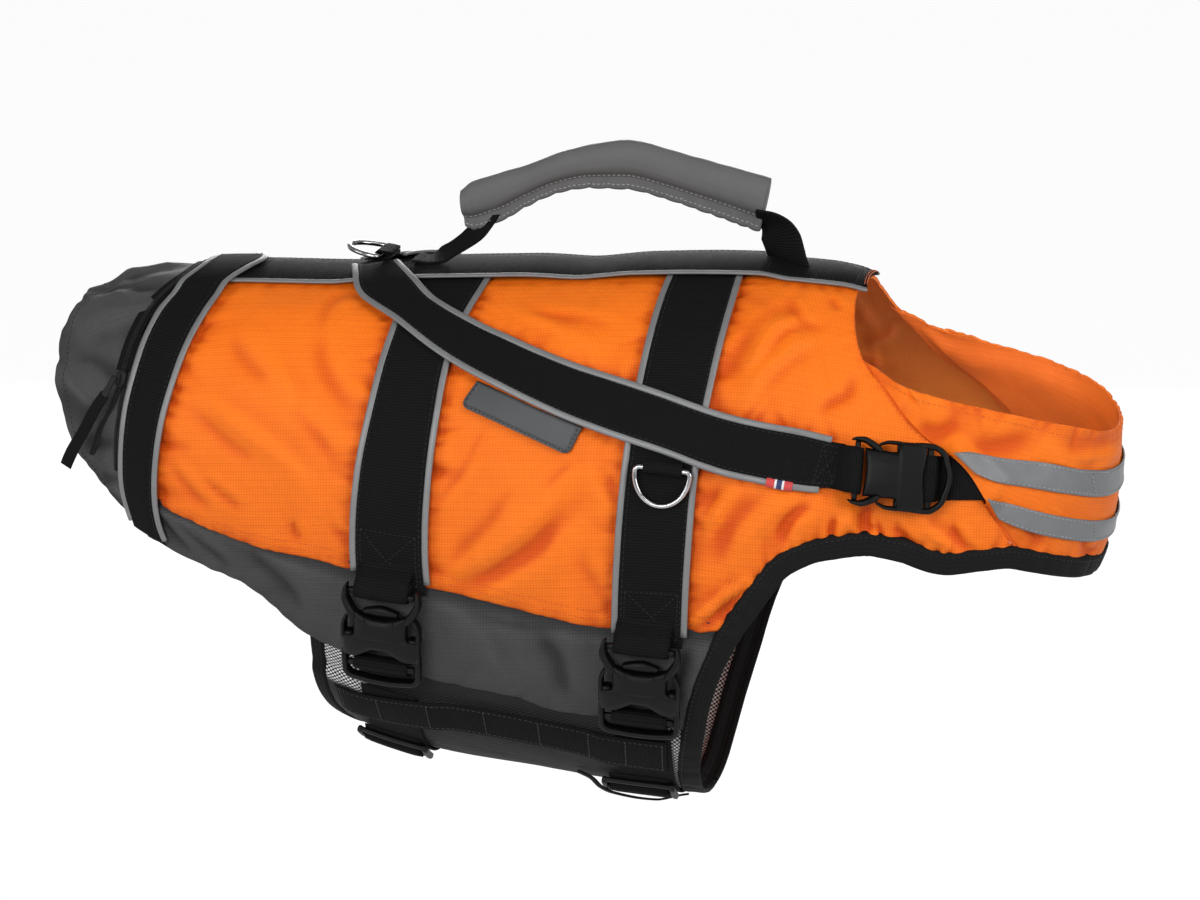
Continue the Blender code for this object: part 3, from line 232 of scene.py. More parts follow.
def hump(value, start, end, soft):
    """1 from start to end, and smoothly down to 0 over a soft distance on both sides."""
    return ramp(value, start - soft, start) * (1 - ramp(value, end, end + soft))


def bell(value):
    return np.exp(-np.asarray(value, float) ** 2)


def spread(a, b):
    """Two values as arrays of one shape."""
    return np.broadcast_arrays(np.asarray(a, float), np.asarray(b, float))


def apart(places):
    """The stations and the angles of places."""
    return places[..., 0], places[..., 1]


def run_lengths(points):
    """How far along a run each of its points is."""
    return np.concatenate([[0], np.cumsum(np.linalg.norm(np.diff(points, axis=0), axis=1))])


def rounded_section(sides, power):
    """The two coordinates, from -1 to 1, of points round a square with rounded corners."""
    turns = 2 * math.pi * (np.arange(sides) + 0.5) / sides
    return tuple(np.sign(wave) * np.abs(wave) ** (2 / power) for wave in (np.cos(turns), np.sin(turns)))


def form(station, angle):
    """Points of the bare form at arrays of places."""
    station, angle = spread(station, angle)
    low = np.clip(np.floor(station).astype(int), 0, len(RINGS) - 2)
    t = (station - low)[..., None]
    sizes = hermite(RING_SIZES[low], RING_SLOPES[low], RING_SIZES[low + 1], RING_SLOPES[low + 1], t)
    top_x, top_z, low_x, low_z, half, widest, top_power, low_power = np.moveaxis(sizes, -1, 0)
    across, down = np.sin(np.radians(angle)), np.cos(np.radians(angle))
    power = np.where(down >= 0, top_power, low_power)
    reach = np.abs(down) ** (2 / power)
    share = np.where(down >= 0, widest * (1 - reach), widest + (1 - widest) * reach)
    y = half * np.sign(across) * np.abs(across) ** (2 / power)
    return np.stack([top_x + (low_x - top_x) * share, y, top_z + (low_z - top_z) * share], axis=-1)


def slopes(station, angle):
    """How a point of the form moves along and around it, by one station and by one degree."""
    along = (form(station + NEAR_STATION, angle) - form(station - NEAR_STATION, angle)) / (2 * NEAR_STATION)
    around = (form(station, angle + NEAR_ANGLE) - form(station, angle - NEAR_ANGLE)) / (2 * NEAR_ANGLE)
    return along, around


def normals(station, angle):
    return unit(np.cross(*slopes(np.asarray(station, float), np.asarray(angle, float))))


def fold_lift(station, angle):
    """The large folds' lift; none under the girth straps and near a panel's edges."""
    total = np.zeros(np.broadcast(station, angle).shape)
    for side, s0, a0, heading, half_length, half_width, depth in FOLDS:
        forward = (station - s0) * STATION_MM
        below = (np.abs(angle) - a0) * ANGLE_MM
        turn = math.radians(heading)
        along = forward * math.cos(turn) + below * math.sin(turn)
        across = below * math.cos(turn) - forward * math.sin(turn)
        here = (angle < 0) == (side == "right")
        total = total + here * depth * bell(along / half_length) * bell(across / half_width)
    clear = math.prod(1 - hump(station, *span, 0.2) for span in STRAPPED)
    return total * clear * hump(np.abs(angle), 24, 94, 8)


def skin(station, angle):
    """The panels' outer skin over the form: foam fields pillowed between the straps, and folds."""
    fields = sum(hump(station, *field) for field in FIELDS)
    return PILLOW * fields * hump(np.abs(angle), 34, 84, 16) + fold_lift(station, angle)


def from_spine(angle):
    """How far round from the spine an angle is, at most 180."""
    return np.minimum(np.abs(angle), 360 - np.abs(angle))


def slot_rise(station, angle):
    """How far the collar stands off its seam where the chest strap goes in under it."""
    return 5.2 * hump(from_spine(angle), 86.5, 100.5, 6) * (1 - ramp(station, 11.50, 11.95))


def lifted(station, angle, lift):
    """Points a lift above the skin."""
    height = skin(station, angle) + lift
    return form(station, angle) + normals(station, angle) * height[..., None]


def glide(station, angle, heading, distance, steps=4):
    """Places reached by going a distance over the form in a 3-D direction."""
    station, angle = np.asarray(station, float), np.asarray(angle, float)
    for _ in range(steps):
        along, around = slopes(station, angle)
        normal = unit(np.cross(along, around))
        heading = unit(heading - normal * dot(heading, normal)[..., None])
        move = heading * (np.asarray(distance, float) / steps)[..., None]
        aa, ab, bb = dot(along, along), dot(along, around), dot(around, around)
        ma, mb = dot(along, move), dot(around, move)
        whole = aa * bb - ab * ab
        station = station + (ma * bb - mb * ab) / whole
        angle = angle + (mb * aa - ma * ab) / whole
    return station, angle, heading


class Line:
    """A smooth line through places, read at t from 0 to 1."""

    def __init__(self, rows, corners=(), even=False, knots=None):
        self.rows = np.array(rows, dtype=float)
        count = len(self.rows)
        if knots is not None:
            self.knots = np.array(knots, dtype=float)
        elif even:
            self.knots = np.linspace(0, 1, count)
        else:
            steps = np.diff(self.rows[:, :2], axis=0) * (STATION_MM, ANGLE_MM)
            lengths = np.concatenate([[0], np.cumsum(np.hypot(steps[:, 0], steps[:, 1]))])
            self.knots = lengths / lengths[-1]
        self.slopes = np.zeros((count, 2, self.rows.shape[1]))
        cuts = [0, *corners, count - 1]
        for first, last in zip(cuts, cuts[1:]):
            run = slice(first, last + 1)
            found = np.gradient(self.rows[run], self.knots[run], axis=0)
            self.slopes[first:last, 1] = found[:-1]
            self.slopes[first + 1:last + 1, 0] = found[1:]

    def __call__(self, t):
        t = np.asarray(t, float)
        k = np.clip(np.searchsorted(self.knots, t, side="right") - 1, 0, len(self.knots) - 2)
        span = (self.knots[k + 1] - self.knots[k])[..., None]
        w = (t - self.knots[k])[..., None] / span
        return hermite(self.rows[k], span * self.slopes[k, 1], self.rows[k + 1],
                       span * self.slopes[k + 1, 0], w)


def both_sides(rows):
    """Places of one side, given outward from the middle line, as one run from right to left."""
    return [(s, -a) for s, a in reversed(rows)] + [(s, a) for s, a in rows if a > 0.01]


def round_front(rows):
    """Places of one side that end at angle 180, as one run from right to left round the front."""
    return [(s, -a) for s, a in rows] + [(s, a - 360) for s, a in reversed(rows) if a < 179.99]


def mirrored(rows, side):
    """Places given outward from the spine, on one side: -1 is the right, 1 the left."""
    return [(s, a * side) for s, a in rows]


def side_line(rows, side):
    return Line(mirrored(rows, side))


def over_back(edges):
    """The rear and the front line of a band over the back, from its table of edges."""
    return [Line(both_sides([(row[k], row[0]) for row in edges])) for k in (1, 2)]


def patch(top, low, start, end, reach=1.0):
    """Places between four lines: u runs along top and low, v from top to low."""
    def place(u, v):
        u, v = np.asarray(u, float), np.asarray(v, float)
        w = v[..., None]
        near_start = np.maximum(0.0, 1 - u / reach)[..., None]
        near_end = np.maximum(0.0, 1 - (1 - u) / reach)[..., None]
        at_start = (1 - w) * top(0 * u) + w * low(0 * u)
        at_end = (1 - w) * top(0 * u + 1) + w * low(0 * u + 1)
        return ((1 - w) * top(u) + w * low(u) + near_start * (start(v) - at_start)
                + near_end * (end(v) - at_end))
    return place


def between(edge_a, edge_b):
    """A band of places between two lines."""
    def place(u, v):
        w = np.asarray(v, float)[..., None]
        return (1 - w) * edge_a(u) + w * edge_b(u)
    return place


def side_band(high, low, side):
    return between(side_line(high, side), side_line(low, side))


def inset(place, margin):
    """The middle part of a band, a margin in mm away from both its edges."""
    def inner(u, v):
        a, b = place(u, 0 * v), place(u, 0 * v + 1)
        width = np.linalg.norm(lifted(*apart(b), 0.0) - lifted(*apart(a), 0.0), axis=-1)
        share = margin / width
        return place(u, share + (1 - 2 * share) * v)
    return inner


def beside(line, u, near, distance):
    """Places a distance to one side of a line of places; its direction is read over near both ways."""
    here = line(u)
    ahead = line(np.minimum(u + near, 1)) - line(np.maximum(u - near, 0))
    along, around = slopes(*apart(here))
    tangent = along * ahead[..., :1] + around * ahead[..., 1:]
    across = np.cross(np.cross(along, around), tangent)
    station, angle, _ = glide(*apart(here), unit(across), distance)
    return np.stack([station, angle], axis=-1)


def strip(edge, width, away, gap=0.7):
    """A strip beside a line of places, a width in mm over the form; away is 1 or -1."""
    def place(u, v):
        u, v = spread(u, v)
        return beside(edge, u, 0.004, away * (gap + v * width))
    return place


TRACK_STEP = 2.0          # mm between the points of a track
AT_ONCE = 3000            # points measured in one go, to save memory


class Track:
    """A line of places as points on the form, to measure how far other points are from it."""

    def __init__(self, line, start=0.0, end=1.0):
        rows = line(np.linspace(start, end, 500))
        lengths = run_lengths(form(*apart(rows)))
        self.length = lengths[-1]
        count = max(3, int(self.length / TRACK_STEP) + 1)
        self.along = np.linspace(0, self.length, count)
        places = np.stack([np.interp(self.along, lengths, rows[:, k]) for k in (0, 1)], axis=-1)
        self.points = form(*apart(places))
        self.tangents = unit(np.gradient(self.points, axis=0))
        self.normals = normals(*apart(places))

    def measure(self, points, reach):
        """For a flat list of points: which are near, their signed distance and place along it."""
        low = self.points.min(axis=0) - reach
        high = self.points.max(axis=0) + reach
        inside = np.flatnonzero(((points > low) & (points < high)).all(axis=1))
        found, away, along = [], [], []
        for start in range(0, len(inside), AT_ONCE):
            some = inside[start:start + AT_ONCE]
            gaps = points[some][:, None] - self.points[None]
            squares = (gaps ** 2).sum(axis=2)
            best = squares.argmin(axis=1)
            offset = gaps[np.arange(len(some)), best]
            tangent = self.tangents[best]
            shift = dot(offset, tangent)
            across = np.cross(self.normals[best], tangent)
            side = np.sign(dot(offset, across))
            span = np.linalg.norm(offset - tangent * shift[:, None], axis=1)
            ends = (best == 0) | (best == len(self.points) - 1)
            span = np.where(ends, np.linalg.norm(offset, axis=1), span)
            keep = span < reach
            found.append(some[keep])
            away.append((side * span)[keep])
            along.append((self.along[best] + shift)[keep])
        if not found:
            return np.zeros(0, int), np.zeros(0), np.zeros(0)
        return np.concatenate(found), np.concatenate(away), np.concatenate(along)


# ---------------------------------------------------------------- lines of the pieces

WEBBING = 1.4
PIPING_WIDTH = 4.0
BODY_INSET = 3.2          # from a band's edge in to its webbing, under the piping
STITCH_INSET = PIPING_WIDTH + 1.7
LAY_GAP = 0.75
CLOTH_WALL = 2.0
SEAM_WALL = 2.2
FOAM_WALL = 6.0
BINDING_WIDTH = 12.5

# share of a panel's way down, station, angle: the side panel's front edge and the collar's seam.
NECK_SEAM = [(0.00, 12.00, 0.6), (0.12, 11.00, 13.0), (0.25, 10.50, 29.0), (0.38, 10.42, 44.0),
             (0.50, 10.77, 57.0), (0.62, 10.99, 70.5), (0.72, 11.26, 81.5), (0.81, 11.41, 90.5),
             (0.90, 11.35, 101.0), (1.00, 11.28, 117.5)]
COLLAR_SEAM = [(0.00, 10.52, 46.6), (0.13, 10.81, 57.0), (0.30, 11.03, 70.5), (0.45, 11.30, 81.5),
               (0.60, 11.45, 90.5), (0.76, 11.39, 101.0), (1.00, 11.32, 120.0)]
# The side panel's ribs: station at the top, then the place at the lower edge.
SIDE_RIBS = [
    (2.84, 2.30, 102.5), (3.20, 2.90, 102.0), (3.70, 3.50, 100.5), (4.30, 4.20, 97.0),
    (4.90, 4.80, 97.0), (5.50, 5.40, 97.5), (6.10, 6.00, 100.0), (6.70, 6.60, 102.0),
    (7.30, 7.20, 102.0), (7.90, 7.78, 101.0), (8.60, 8.28, 90.0), (9.20, 8.72, 86.3),
    (9.80, 9.25, 86.5), (10.3, 9.78, 90.0), (10.9, 10.15, 94.3), (11.4, 10.53, 102.0),
    (11.7, 10.93, 108.5), (12.0, 11.28, 117.5)]
SIDE_CORNER = 9
SIDE_REAR = [(2.84, 0.6), (2.52, 28), (2.40, 46), (2.32, 60), (2.25, 76), (2.26, 90), (2.30, 102.5)]
# The collar's ribs: the place at the rim, then the place at the hem.
COLLAR_RIBS = [
    (10.52, 46.6, 11.33, 120.8), (10.92, 52, 11.37, 123.0), (11.33, 60, 11.41, 125.3),
    (11.88, 70, 11.46, 128.5), (12.30, 80, 11.52, 133.5), (12.70, 94, 11.58, 140.0),
    (12.90, 111, 11.64, 149.0), (13.0, 133, 11.69, 160.0), (13.0, 157, 11.71, 170.0),
    (13.0, 180, 11.72, 180.0)]
# The lower panel's ribs: the place at the seam with the side panel, then at its free lower edge.
LOWER_RIBS = [
    (2.30, 102.9, 2.50, 116.5), (2.90, 102.4, 3.00, 116.0), (3.20, 101.7, 3.30, 114.3),
    (3.50, 100.9, 3.60, 112.0), (3.85, 99.4, 3.83, 113.5), (4.20, 97.5, 4.15, 118.0),
    (4.80, 97.5, 4.70, 119.0), (5.40, 98.0, 5.30, 120.2), (6.00, 100.5, 5.90, 122.0),
    (6.30, 101.5, 6.15, 124.3), (6.60, 102.5, 6.53, 124.7), (7.20, 102.5, 7.00, 125.3),
    (7.80, 101.5, 7.41, 126.0)]
LOWER_REAR = [(2.30, 100.3), (2.38, 110), (2.50, 116.5)]
LOWER_FRONT = [(7.80, 98.9), (7.60, 109), (7.475, 118), (7.41, 126.0)]
# The rump piece: angle, station of its free hem, station of its edge under the rear band.
RUMP_RIBS = [(0, 0.44, 2.80), (14, 0.46, 2.66), (28, 0.36, 2.48), (46, 0.30, 2.36),
             (60, 0.33, 2.28), (76, 0.33, 2.21), (88, 0.46, 2.20), (97, 0.68, 2.21),
             (106, 1.12, 2.29), (111, 1.56, 2.35), (114, 1.95, 2.39)]
# Edges of bands that go over the back: angle, station of the rear edge, station of the front edge.
REAR_BAND_EDGES = [(0, 2.43, 3.25), (8, 2.40, 3.20), (20, 2.18, 3.08), (32, 1.98, 3.00),
                   (46, 1.86, 2.90), (62, 1.79, 2.81), (78, 1.73, 2.73), (92, 1.74, 2.73),
                   (102, 1.80, 2.80), (109, 1.92, 2.90), (114.5, 2.06, 3.02)]
MID_STRAP_EDGES = [(0, 4.68, 5.34), (18, 4.67, 5.33), (32, 4.67, 5.28), (46, 4.64, 5.24),
                   (60, 4.61, 5.23), (78, 4.56, 5.22), (90, 4.56, 5.23), (98.5, 4.60, 5.27)]
FRONT_STRAP_EDGES = [(0, 6.68, 7.46), (26, 6.68, 7.49), (48, 6.67, 7.45), (68, 6.65, 7.40),
                     (86, 6.65, 7.40), (104.5, 6.68, 7.42)]
# The spine band: station, half width in mm, pipings included.
SPINE_EDGES = [(2.72, 38), (4.2, 36), (6.0, 35), (8.0, 34), (10.0, 31), (11.9, 27)]
SPINE_TAB = 0.94
DIAGONAL_LOW = [(3.98, 0.8), (4.08, 10), (4.20, 20), (4.73, 34), (5.23, 46), (5.80, 56),
                (6.45, 64), (7.18, 69.6), (8.20, 73), (9.30, 77.3)]
DIAGONAL_HIGH = [(4.42, 0.8), (4.60, 9), (4.93, 22), (5.40, 34), (6.05, 45), (6.53, 50.5),
                 (7.10, 55.5), (8.15, 59.5), (8.90, 62), (9.62, 66.3)]
DIAGONAL_BARE = 0.955
TAPE_UPPER = ([(11.46, 85.5), (11.80, 91), (12.03, 98), (12.38, 114), (12.55, 136), (12.62, 160),
               (12.63, 180)],
              [(11.54, 93), (11.73, 101), (11.98, 112), (12.19, 128), (12.31, 148), (12.35, 162),
               (12.36, 180)])
TAPE_LOWER = ([(11.43, 99.5), (11.64, 108), (11.88, 124), (12.00, 137), (12.06, 148), (12.10, 162),
               (12.11, 180)],
              [(11.37, 106.5), (11.50, 115), (11.64, 125), (11.74, 134), (11.83, 147), (11.89, 162),
               (11.90, 180)])
CHEST_STRAP = [(11.13, 89), (11.45, 93.5), (11.80, 102), (12.05, 115), (12.18, 135), (12.22, 160),
               (12.22, 180)]
CHEST_STRAP_WIDTH = 27.0
LEG_EDGE = [(11.72, 179.8), (11.71, 170), (11.69, 160), (11.64, 149), (11.58, 140), (11.50, 132),
            (11.39, 124), (11.27, 117.6), (10.93, 108.8), (10.53, 102.3), (10.15, 94.6),
            (9.78, 90.3), (9.25, 86.8), (8.72, 86.6), (8.45, 88.2), (8.28, 90.4), (8.03, 95.5),
            (7.80, 101.5), (7.61, 109), (7.48, 118), (7.42, 126), (7.34, 140), (7.31, 154),
            (7.31, 168), (7.31, 179.8)]
BELLY_REAR = [(4.30, 109), (4.30, 118), (4.36, 149), (4.51, 167), (4.54, 180)]
BELLY_FRONT = [(7.60, 109), (7.48, 118), (7.41, 126), (7.335, 140), (7.31, 154), (7.30, 180)]
BELLY_BINDING = 10.0
LADDER_HIGH = [(4.40, 131.5), (4.62, 130.5), (5.30, 126.5), (6.10, 127.5), (6.62, 129.0),
               (7.22, 129.5)]
LADDER_LOW = [(4.44, 143), (4.70, 141.5), (5.28, 137.5), (6.10, 138.5), (6.62, 141.0), (7.20, 142)]
LABEL_HIGH = [(5.47, 51.3), (5.90, 57.9), (6.31, 62.8)]
LABEL_LOW = [(5.37, 58.4), (5.81, 64.4), (6.23, 69.6)]
TAG_STATIONS = (8.30, 8.66)
SIDES = (("right", -1), ("left", 1))

# ---------------------------------------------------------------- materials


class Look:
    """A node material over a piece's flat sizes: u along it and v across it, in mm."""

    def __init__(self, name, **constants):
        self.material = bpy.data.materials.new(name)
        self.material.use_nodes = True
        self.tree = self.material.node_tree
        self.shader = self.tree.nodes["Principled BSDF"]
        self.set(self.shader, Roughness=0.6, **constants)
        flat = self.node("UVMap")
        flat.uv_map = "flat"
        self.flat = flat.outputs["UV"]
        self.u, self.v, _ = self.node("SeparateXYZ", Vector=self.flat).outputs
        self.point = self.node("TexCoord").outputs["Object"]

    def put(self, value, socket):
        """A link, a number or a colour goes into a socket."""
        if isinstance(value, bpy.types.NodeSocket):
            self.tree.links.new(value, socket)
        elif isinstance(value, tuple):
            socket.default_value = (*value, 1.0)
        else:
            socket.default_value = value

    def set(self, node, **values):
        for name, value in values.items():
            self.put(value, node.inputs[name.replace("_", " ")])

    def node(self, kind, **values):
        made = self.tree.nodes.new("ShaderNode" + kind)
        self.set(made, **values)
        return made

    def math(self, operation, a, b=0.0):
        made = self.node("Math")
        made.operation = operation
        self.put(a, made.inputs[0])
        self.put(b, made.inputs[1])
        return made.outputs[0]

    def sum(self, *terms):
        """The sum of (weight, socket) terms."""
        total = 0.0
        for weight, socket in terms:
            total = self.math("ADD", self.math("MULTIPLY", socket, weight), total)
        return total

    def lines(self, coordinate, period, sharp=1.0, shift=0.0):
        """Soft ridges across a coordinate, 0 to 1, one each period."""
        turn = self.math("MULTIPLY", coordinate, 2 * math.pi / period)
        wave = self.math("COSINE", self.math("ADD", turn, shift))
        half = self.math("ADD", self.math("MULTIPLY", wave, 0.5), 0.5)
        return self.math("POWER", half, sharp)

    def noise(self, size_mm, detail=2.0, where="point", distortion=0.0):
        """Noise from 0 to 1 with features of about a size."""
        scale = 1000.0 / size_mm if where == "point" else 1.0 / size_mm
        vector = self.point if where == "point" else self.flat
        made = self.node("TexNoise", Detail=detail, Distortion=distortion, Scale=scale, Vector=vector)
        return made.outputs[0]

    def attribute(self, name):
        made = self.node("Attribute")
        made.attribute_name = name
        return made.outputs["Fac"]

    def step(self, value, low, high):
        """0 below low, 1 above high."""
        made = self.node("MapRange")
        made.interpolation_type = "SMOOTHSTEP"
        self.set(made, Value=value, From_Min=low, From_Max=high)
        return made.outputs["Result"]

    def mix(self, share, a, b):
        made = self.node("MixRGB")
        for value, socket in zip((share, a, b), made.inputs):
            self.put(value, socket)
        return made.outputs[0]

    def finish(self, color, height, roughness=0.6):
        """Colour, height in mm and roughness go to the shader."""
        bump = self.node("Bump", Strength=1.0, Distance=MM, Height=height)
        self.set(self.shader, Base_Color=color, Roughness=roughness, Normal=bump.outputs[0])
        return self.material


def ripstop(name, lit, deep, rib_period, soft=1.0):
    """Plain-woven nylon with ripstop threads, softly wrinkled, with painted shade that darkens its troughs.
    """
    look = Look(name, Specular_IOR_Level=0.14)
    grid = look.math("MAXIMUM", look.lines(look.u, 1.9, 4), look.lines(look.v, 1.9, 4))
    rows = look.lines(look.v, rib_period, 3)
    wrinkle = look.noise(30, 2, distortion=0.8)
    small = look.noise(9, 3, distortion=0.4)
    patchy = look.noise(60, 2)
    relief = look.attribute("relief")
    # Painted shade: where the relief attribute shows a trough, the colour goes towards deep.
    trough = look.step(relief, 0.6, -3.0)
    # shade mixes that painted trough shade with the weave's and the cloth's own uneven tone.
    shade = look.sum((0.66, trough), (0.10, patchy), (0.30, grid), (0.12, small), (0.05, rows))
    color = look.mix(shade, lit, deep)
    height = look.sum((0.09, grid), (0.08, rows), (0.9 * soft, wrinkle), (0.42 * soft, small))
    rough = look.sum((0.10, small), (0.08, grid), (1.0, 0.5))
    return look.finish(color, height, rough)


def webbing(name, base, period=1.9, depth=0.24, lines_along=0.0, specular=0.07):
    """Woven band: ribs across it, each broken into picks."""
    look = Look(name, Specular_IOR_Level=specular)
    ribs = look.lines(look.u, period, 1.2)
    picks = look.lines(look.v, 0.95, 1.0)
    wear = look.noise(5, 3)
    broad = look.noise(45, 2)
    shade = look.sum((0.45, ribs), (0.20, picks), (0.35, wear))
    light = tuple(c * 3.0 + 0.005 for c in base)
    color = look.mix(shade, base, light)
    height = look.sum((depth, ribs), (0.05, picks), (0.35, broad))
    if lines_along:
        height = look.sum((1.0, height), (0.25, look.lines(look.v, lines_along, 1.5)))
    rough = look.sum((0.15, wear), (1.0, 0.66))
    return look.finish(color, height, rough)


def reflective(name, base, light):
    """Grey retroreflective cloth: satin, with a fine bead grain and faint handling marks."""
    look = Look(name, Metallic=0.25, Specular_IOR_Level=0.5)
    grain = look.noise(0.7, 1, "flat")
    weave = look.math("MAXIMUM", look.lines(look.u, 0.9, 2), look.lines(look.v, 0.9, 2))
    marks = look.noise(14, 4, distortion=0.8)
    color = look.mix(look.sum((0.5, marks), (0.25, grain), (0.2, weave)), base, light)
    height = look.sum((0.03, grain), (0.03, weave), (0.25, marks))
    rough = look.sum((0.22, marks), (0.08, grain), (1.0, 0.30))
    return look.finish(color, height, rough)


def plain_weave(name, base, light, period=0.8, wrinkle=0.5):
    look = Look(name, Sheen_Weight=0.04, Specular_IOR_Level=0.25)
    warp = look.lines(look.u, period, 1.5)
    weft = look.lines(look.v, period, 1.5)
    soft = look.noise(16, 3, distortion=0.5)
    color = look.mix(look.sum((0.25, warp), (0.15, weft), (0.5, soft)), base, light)
    height = look.sum((0.05, warp), (0.04, weft), (wrinkle, soft))
    return look.finish(color, height, look.sum((0.15, soft), (1.0, 0.5)))


DOT_STEP = 3.2


def belly_cloth():
    """Black twill, with a pale-dotted net in the panel's corners and behind the leg opening."""
    look = Look("belly_twill_look", Sheen_Weight=0.02, Specular_IOR_Level=0.15)
    slant = look.math("ADD", look.u, look.math("MULTIPLY", look.v, 0.62))
    twill = look.lines(slant, 2.6, 1.4)
    fine = look.lines(look.v, 1.2, 1.0)
    soft = look.noise(18, 3)
    grids = [look.math("MULTIPLY", look.lines(look.u, DOT_STEP, 1.0, shift),
                       look.lines(look.v, DOT_STEP, 1.0, shift)) for shift in (0.0, math.pi)]
    dots = look.step(look.math("MAXIMUM", *grids), 0.34, 0.50)
    net = look.attribute("net")
    black = (0.010, 0.010, 0.011)
    cloth = look.mix(look.sum((0.55, twill), (0.3, soft)), black, (0.034, 0.034, 0.036))
    color = look.mix(net, cloth, look.mix(dots, black, (0.80, 0.80, 0.80)))
    height = look.sum((0.22, twill), (0.04, fine), (0.5, soft), (-0.25, look.math("MULTIPLY", dots, net)))
    return look.finish(color, height, look.sum((0.12, soft), (1.0, 0.66)))


def moulded(name, base=(0.0010, 0.0010, 0.0011), light=(0.0035, 0.0035, 0.0037), rough=0.31):
    """Injection-moulded plastic: satin, faintly grained, with dull handling marks."""
    look = Look(name, Specular_IOR_Level=0.18)
    grain = look.noise(0.6, 2)
    marks = look.noise(11, 4, distortion=1.2)
    color = look.mix(look.step(marks, 0.55, 0.95), base, light)
    height = look.sum((0.025, grain), (0.12, marks))
    return look.finish(color, height, look.sum((0.25, marks), (0.08, grain), (1.0, rough)))


def chrome():
    look = Look("chrome_look", Metallic=1.0)
    swirl = look.noise(9, 4, distortion=2.0)
    fine = look.noise(1.2, 2)
    color = look.mix(swirl, (0.30, 0.30, 0.31), (0.46, 0.46, 0.47))
    height = look.sum((0.03, swirl), (0.008, fine))
    return look.finish(color, height, look.sum((0.14, swirl), (0.05, fine), (1.0, 0.07)))


def rubber():
    look = Look("patch_rubber_look", Specular_IOR_Level=0.4)
    grain = look.noise(0.9, 3)
    soft = look.noise(12, 3)
    cross = look.math("MULTIPLY", look.lines(look.u, 1.6, 2), look.lines(look.v, 1.6, 2))
    color = look.mix(look.sum((0.5, soft), (0.3, grain)), (0.036, 0.038, 0.041), (0.066, 0.069, 0.074))
    height = look.sum((0.05, grain), (0.05, cross), (0.2, soft))
    return look.finish(color, height, look.sum((0.2, soft), (1.0, 0.42)))


def flag_cloth():
    """A woven tag with the stripes of a country's flag: red, white and blue."""
    look = Look("flag_cloth_look", Sheen_Weight=0.1)
    off = look.math("ABSOLUTE", look.u)
    blue = look.step(off, 1.8, 1.6)
    white = look.step(off, 3.2, 3.0)
    weave = look.math("MAXIMUM", look.lines(look.u, 0.6, 2), look.lines(look.v, 0.6, 2))
    red = look.mix(weave, (0.48, 0.02, 0.025), (0.62, 0.05, 0.05))
    with_white = look.mix(white, red, (0.72, 0.72, 0.72))
    color = look.mix(blue, with_white, (0.012, 0.022, 0.10))
    return look.finish(color, look.sum((0.05, weave), (0.3, look.noise(6, 2))))


def thread_look(name, base, light):
    return plain_weave(f"{name}_look", base, light, 0.5, 0.1)


LOOKS = {
    # Ripstop looks: lit is the cloth's colour, deep the darker colour that painted trough shade, and some
    # weave tone, go towards.
    "orange": ripstop("orange_ripstop_look", (0.98, 0.215, 0.011), (0.60, 0.066, 0.003), 5.2),
    # Painted light: the inner faces get a brighter orange than the outside, standing in for light through and
    # into the cloth.
    "orange_inside_painted_light": ripstop("orange_inside_painted_light_look", (1.0, 0.32, 0.050), (0.92, 0.17, 0.020), 5.2),
    "grey": ripstop("grey_ripstop_look", (0.074, 0.074, 0.076), (0.024, 0.024, 0.025), 3.7, 1.1),
    "webbing": webbing("black_webbing_look", (0.0016, 0.0016, 0.0017)),
    "fine_webbing": webbing("fine_webbing_look", (0.0016, 0.0016, 0.0017), 1.1, 0.10),
    "elastic": webbing("binding_elastic_look", (0.0030, 0.0030, 0.0031), 1.2, 0.05, 3.1, 0.09),
    "piping": reflective("reflective_piping_look", (0.125, 0.127, 0.130), (0.235, 0.237, 0.240)),
    "tape": reflective("reflective_tape_look", (0.114, 0.117, 0.122), (0.202, 0.207, 0.214)),
    "grip": plain_weave("grip_cloth_look", (0.085, 0.085, 0.087), (0.135, 0.135, 0.138)),
    "belly": belly_cloth(),
    "plastic": moulded("black_plastic_look"),
    "zip_plastic": moulded("zip_plastic_look", (0.010, 0.010, 0.011), (0.03, 0.03, 0.031), 0.42),
    "chrome": chrome(),
    "rubber": rubber(),
    "flag": flag_cloth(),
    "black_thread": thread_look("black_thread", (0.0025, 0.0025, 0.0028), (0.010, 0.010, 0.011)),
    "orange_thread": thread_look("orange_thread", (0.55, 0.075, 0.006), (0.85, 0.16, 0.015)),
    "dark_thread": thread_look("dark_thread", (0.022, 0.022, 0.023), (0.055, 0.055, 0.057)),
    "grey_thread": thread_look("grey_thread", (0.26, 0.26, 0.265), (0.42, 0.42, 0.43)),
}

# ---------------------------------------------------------------- meshes


def quads(rows, columns, wrap_rows=False, wrap_columns=False):
    """The quads of a grid of points, row by row."""
    last_row = rows if wrap_rows else rows - 1
    last_column = columns if wrap_columns else columns - 1
    i, j = np.meshgrid(np.arange(last_row), np.arange(last_column), indexing="ij")
    i, j = i.ravel(), j.ravel()
    ahead, beside = (i + 1) % rows, (j + 1) % columns
    return np.stack([i * columns + j, ahead * columns + j, ahead * columns + beside, i * columns + beside], 1)


def grid_flat(points):
    """Flat sizes of a grid: along it from 0, across it from its middle."""
    along = np.linalg.norm(np.diff(points, axis=0), axis=2).mean(axis=1)
    across = np.linalg.norm(np.diff(points, axis=1), axis=2)
    u = np.concatenate([[0], np.cumsum(along)])[:, None] + np.zeros(points.shape[1])
    v = np.concatenate([np.zeros((len(points), 1)), np.cumsum(across, axis=1)], axis=1)
    return np.stack([u, v - v[:, -1:] / 2], axis=-1)


ARC_STATION, ARC_ANGLE = 0.25, 2.0        # steps of the table of arcs
ARC_STATIONS = np.arange(0, 13.01, ARC_STATION)
ARC_ANGLES = np.arange(0, 180.1, ARC_ANGLE)


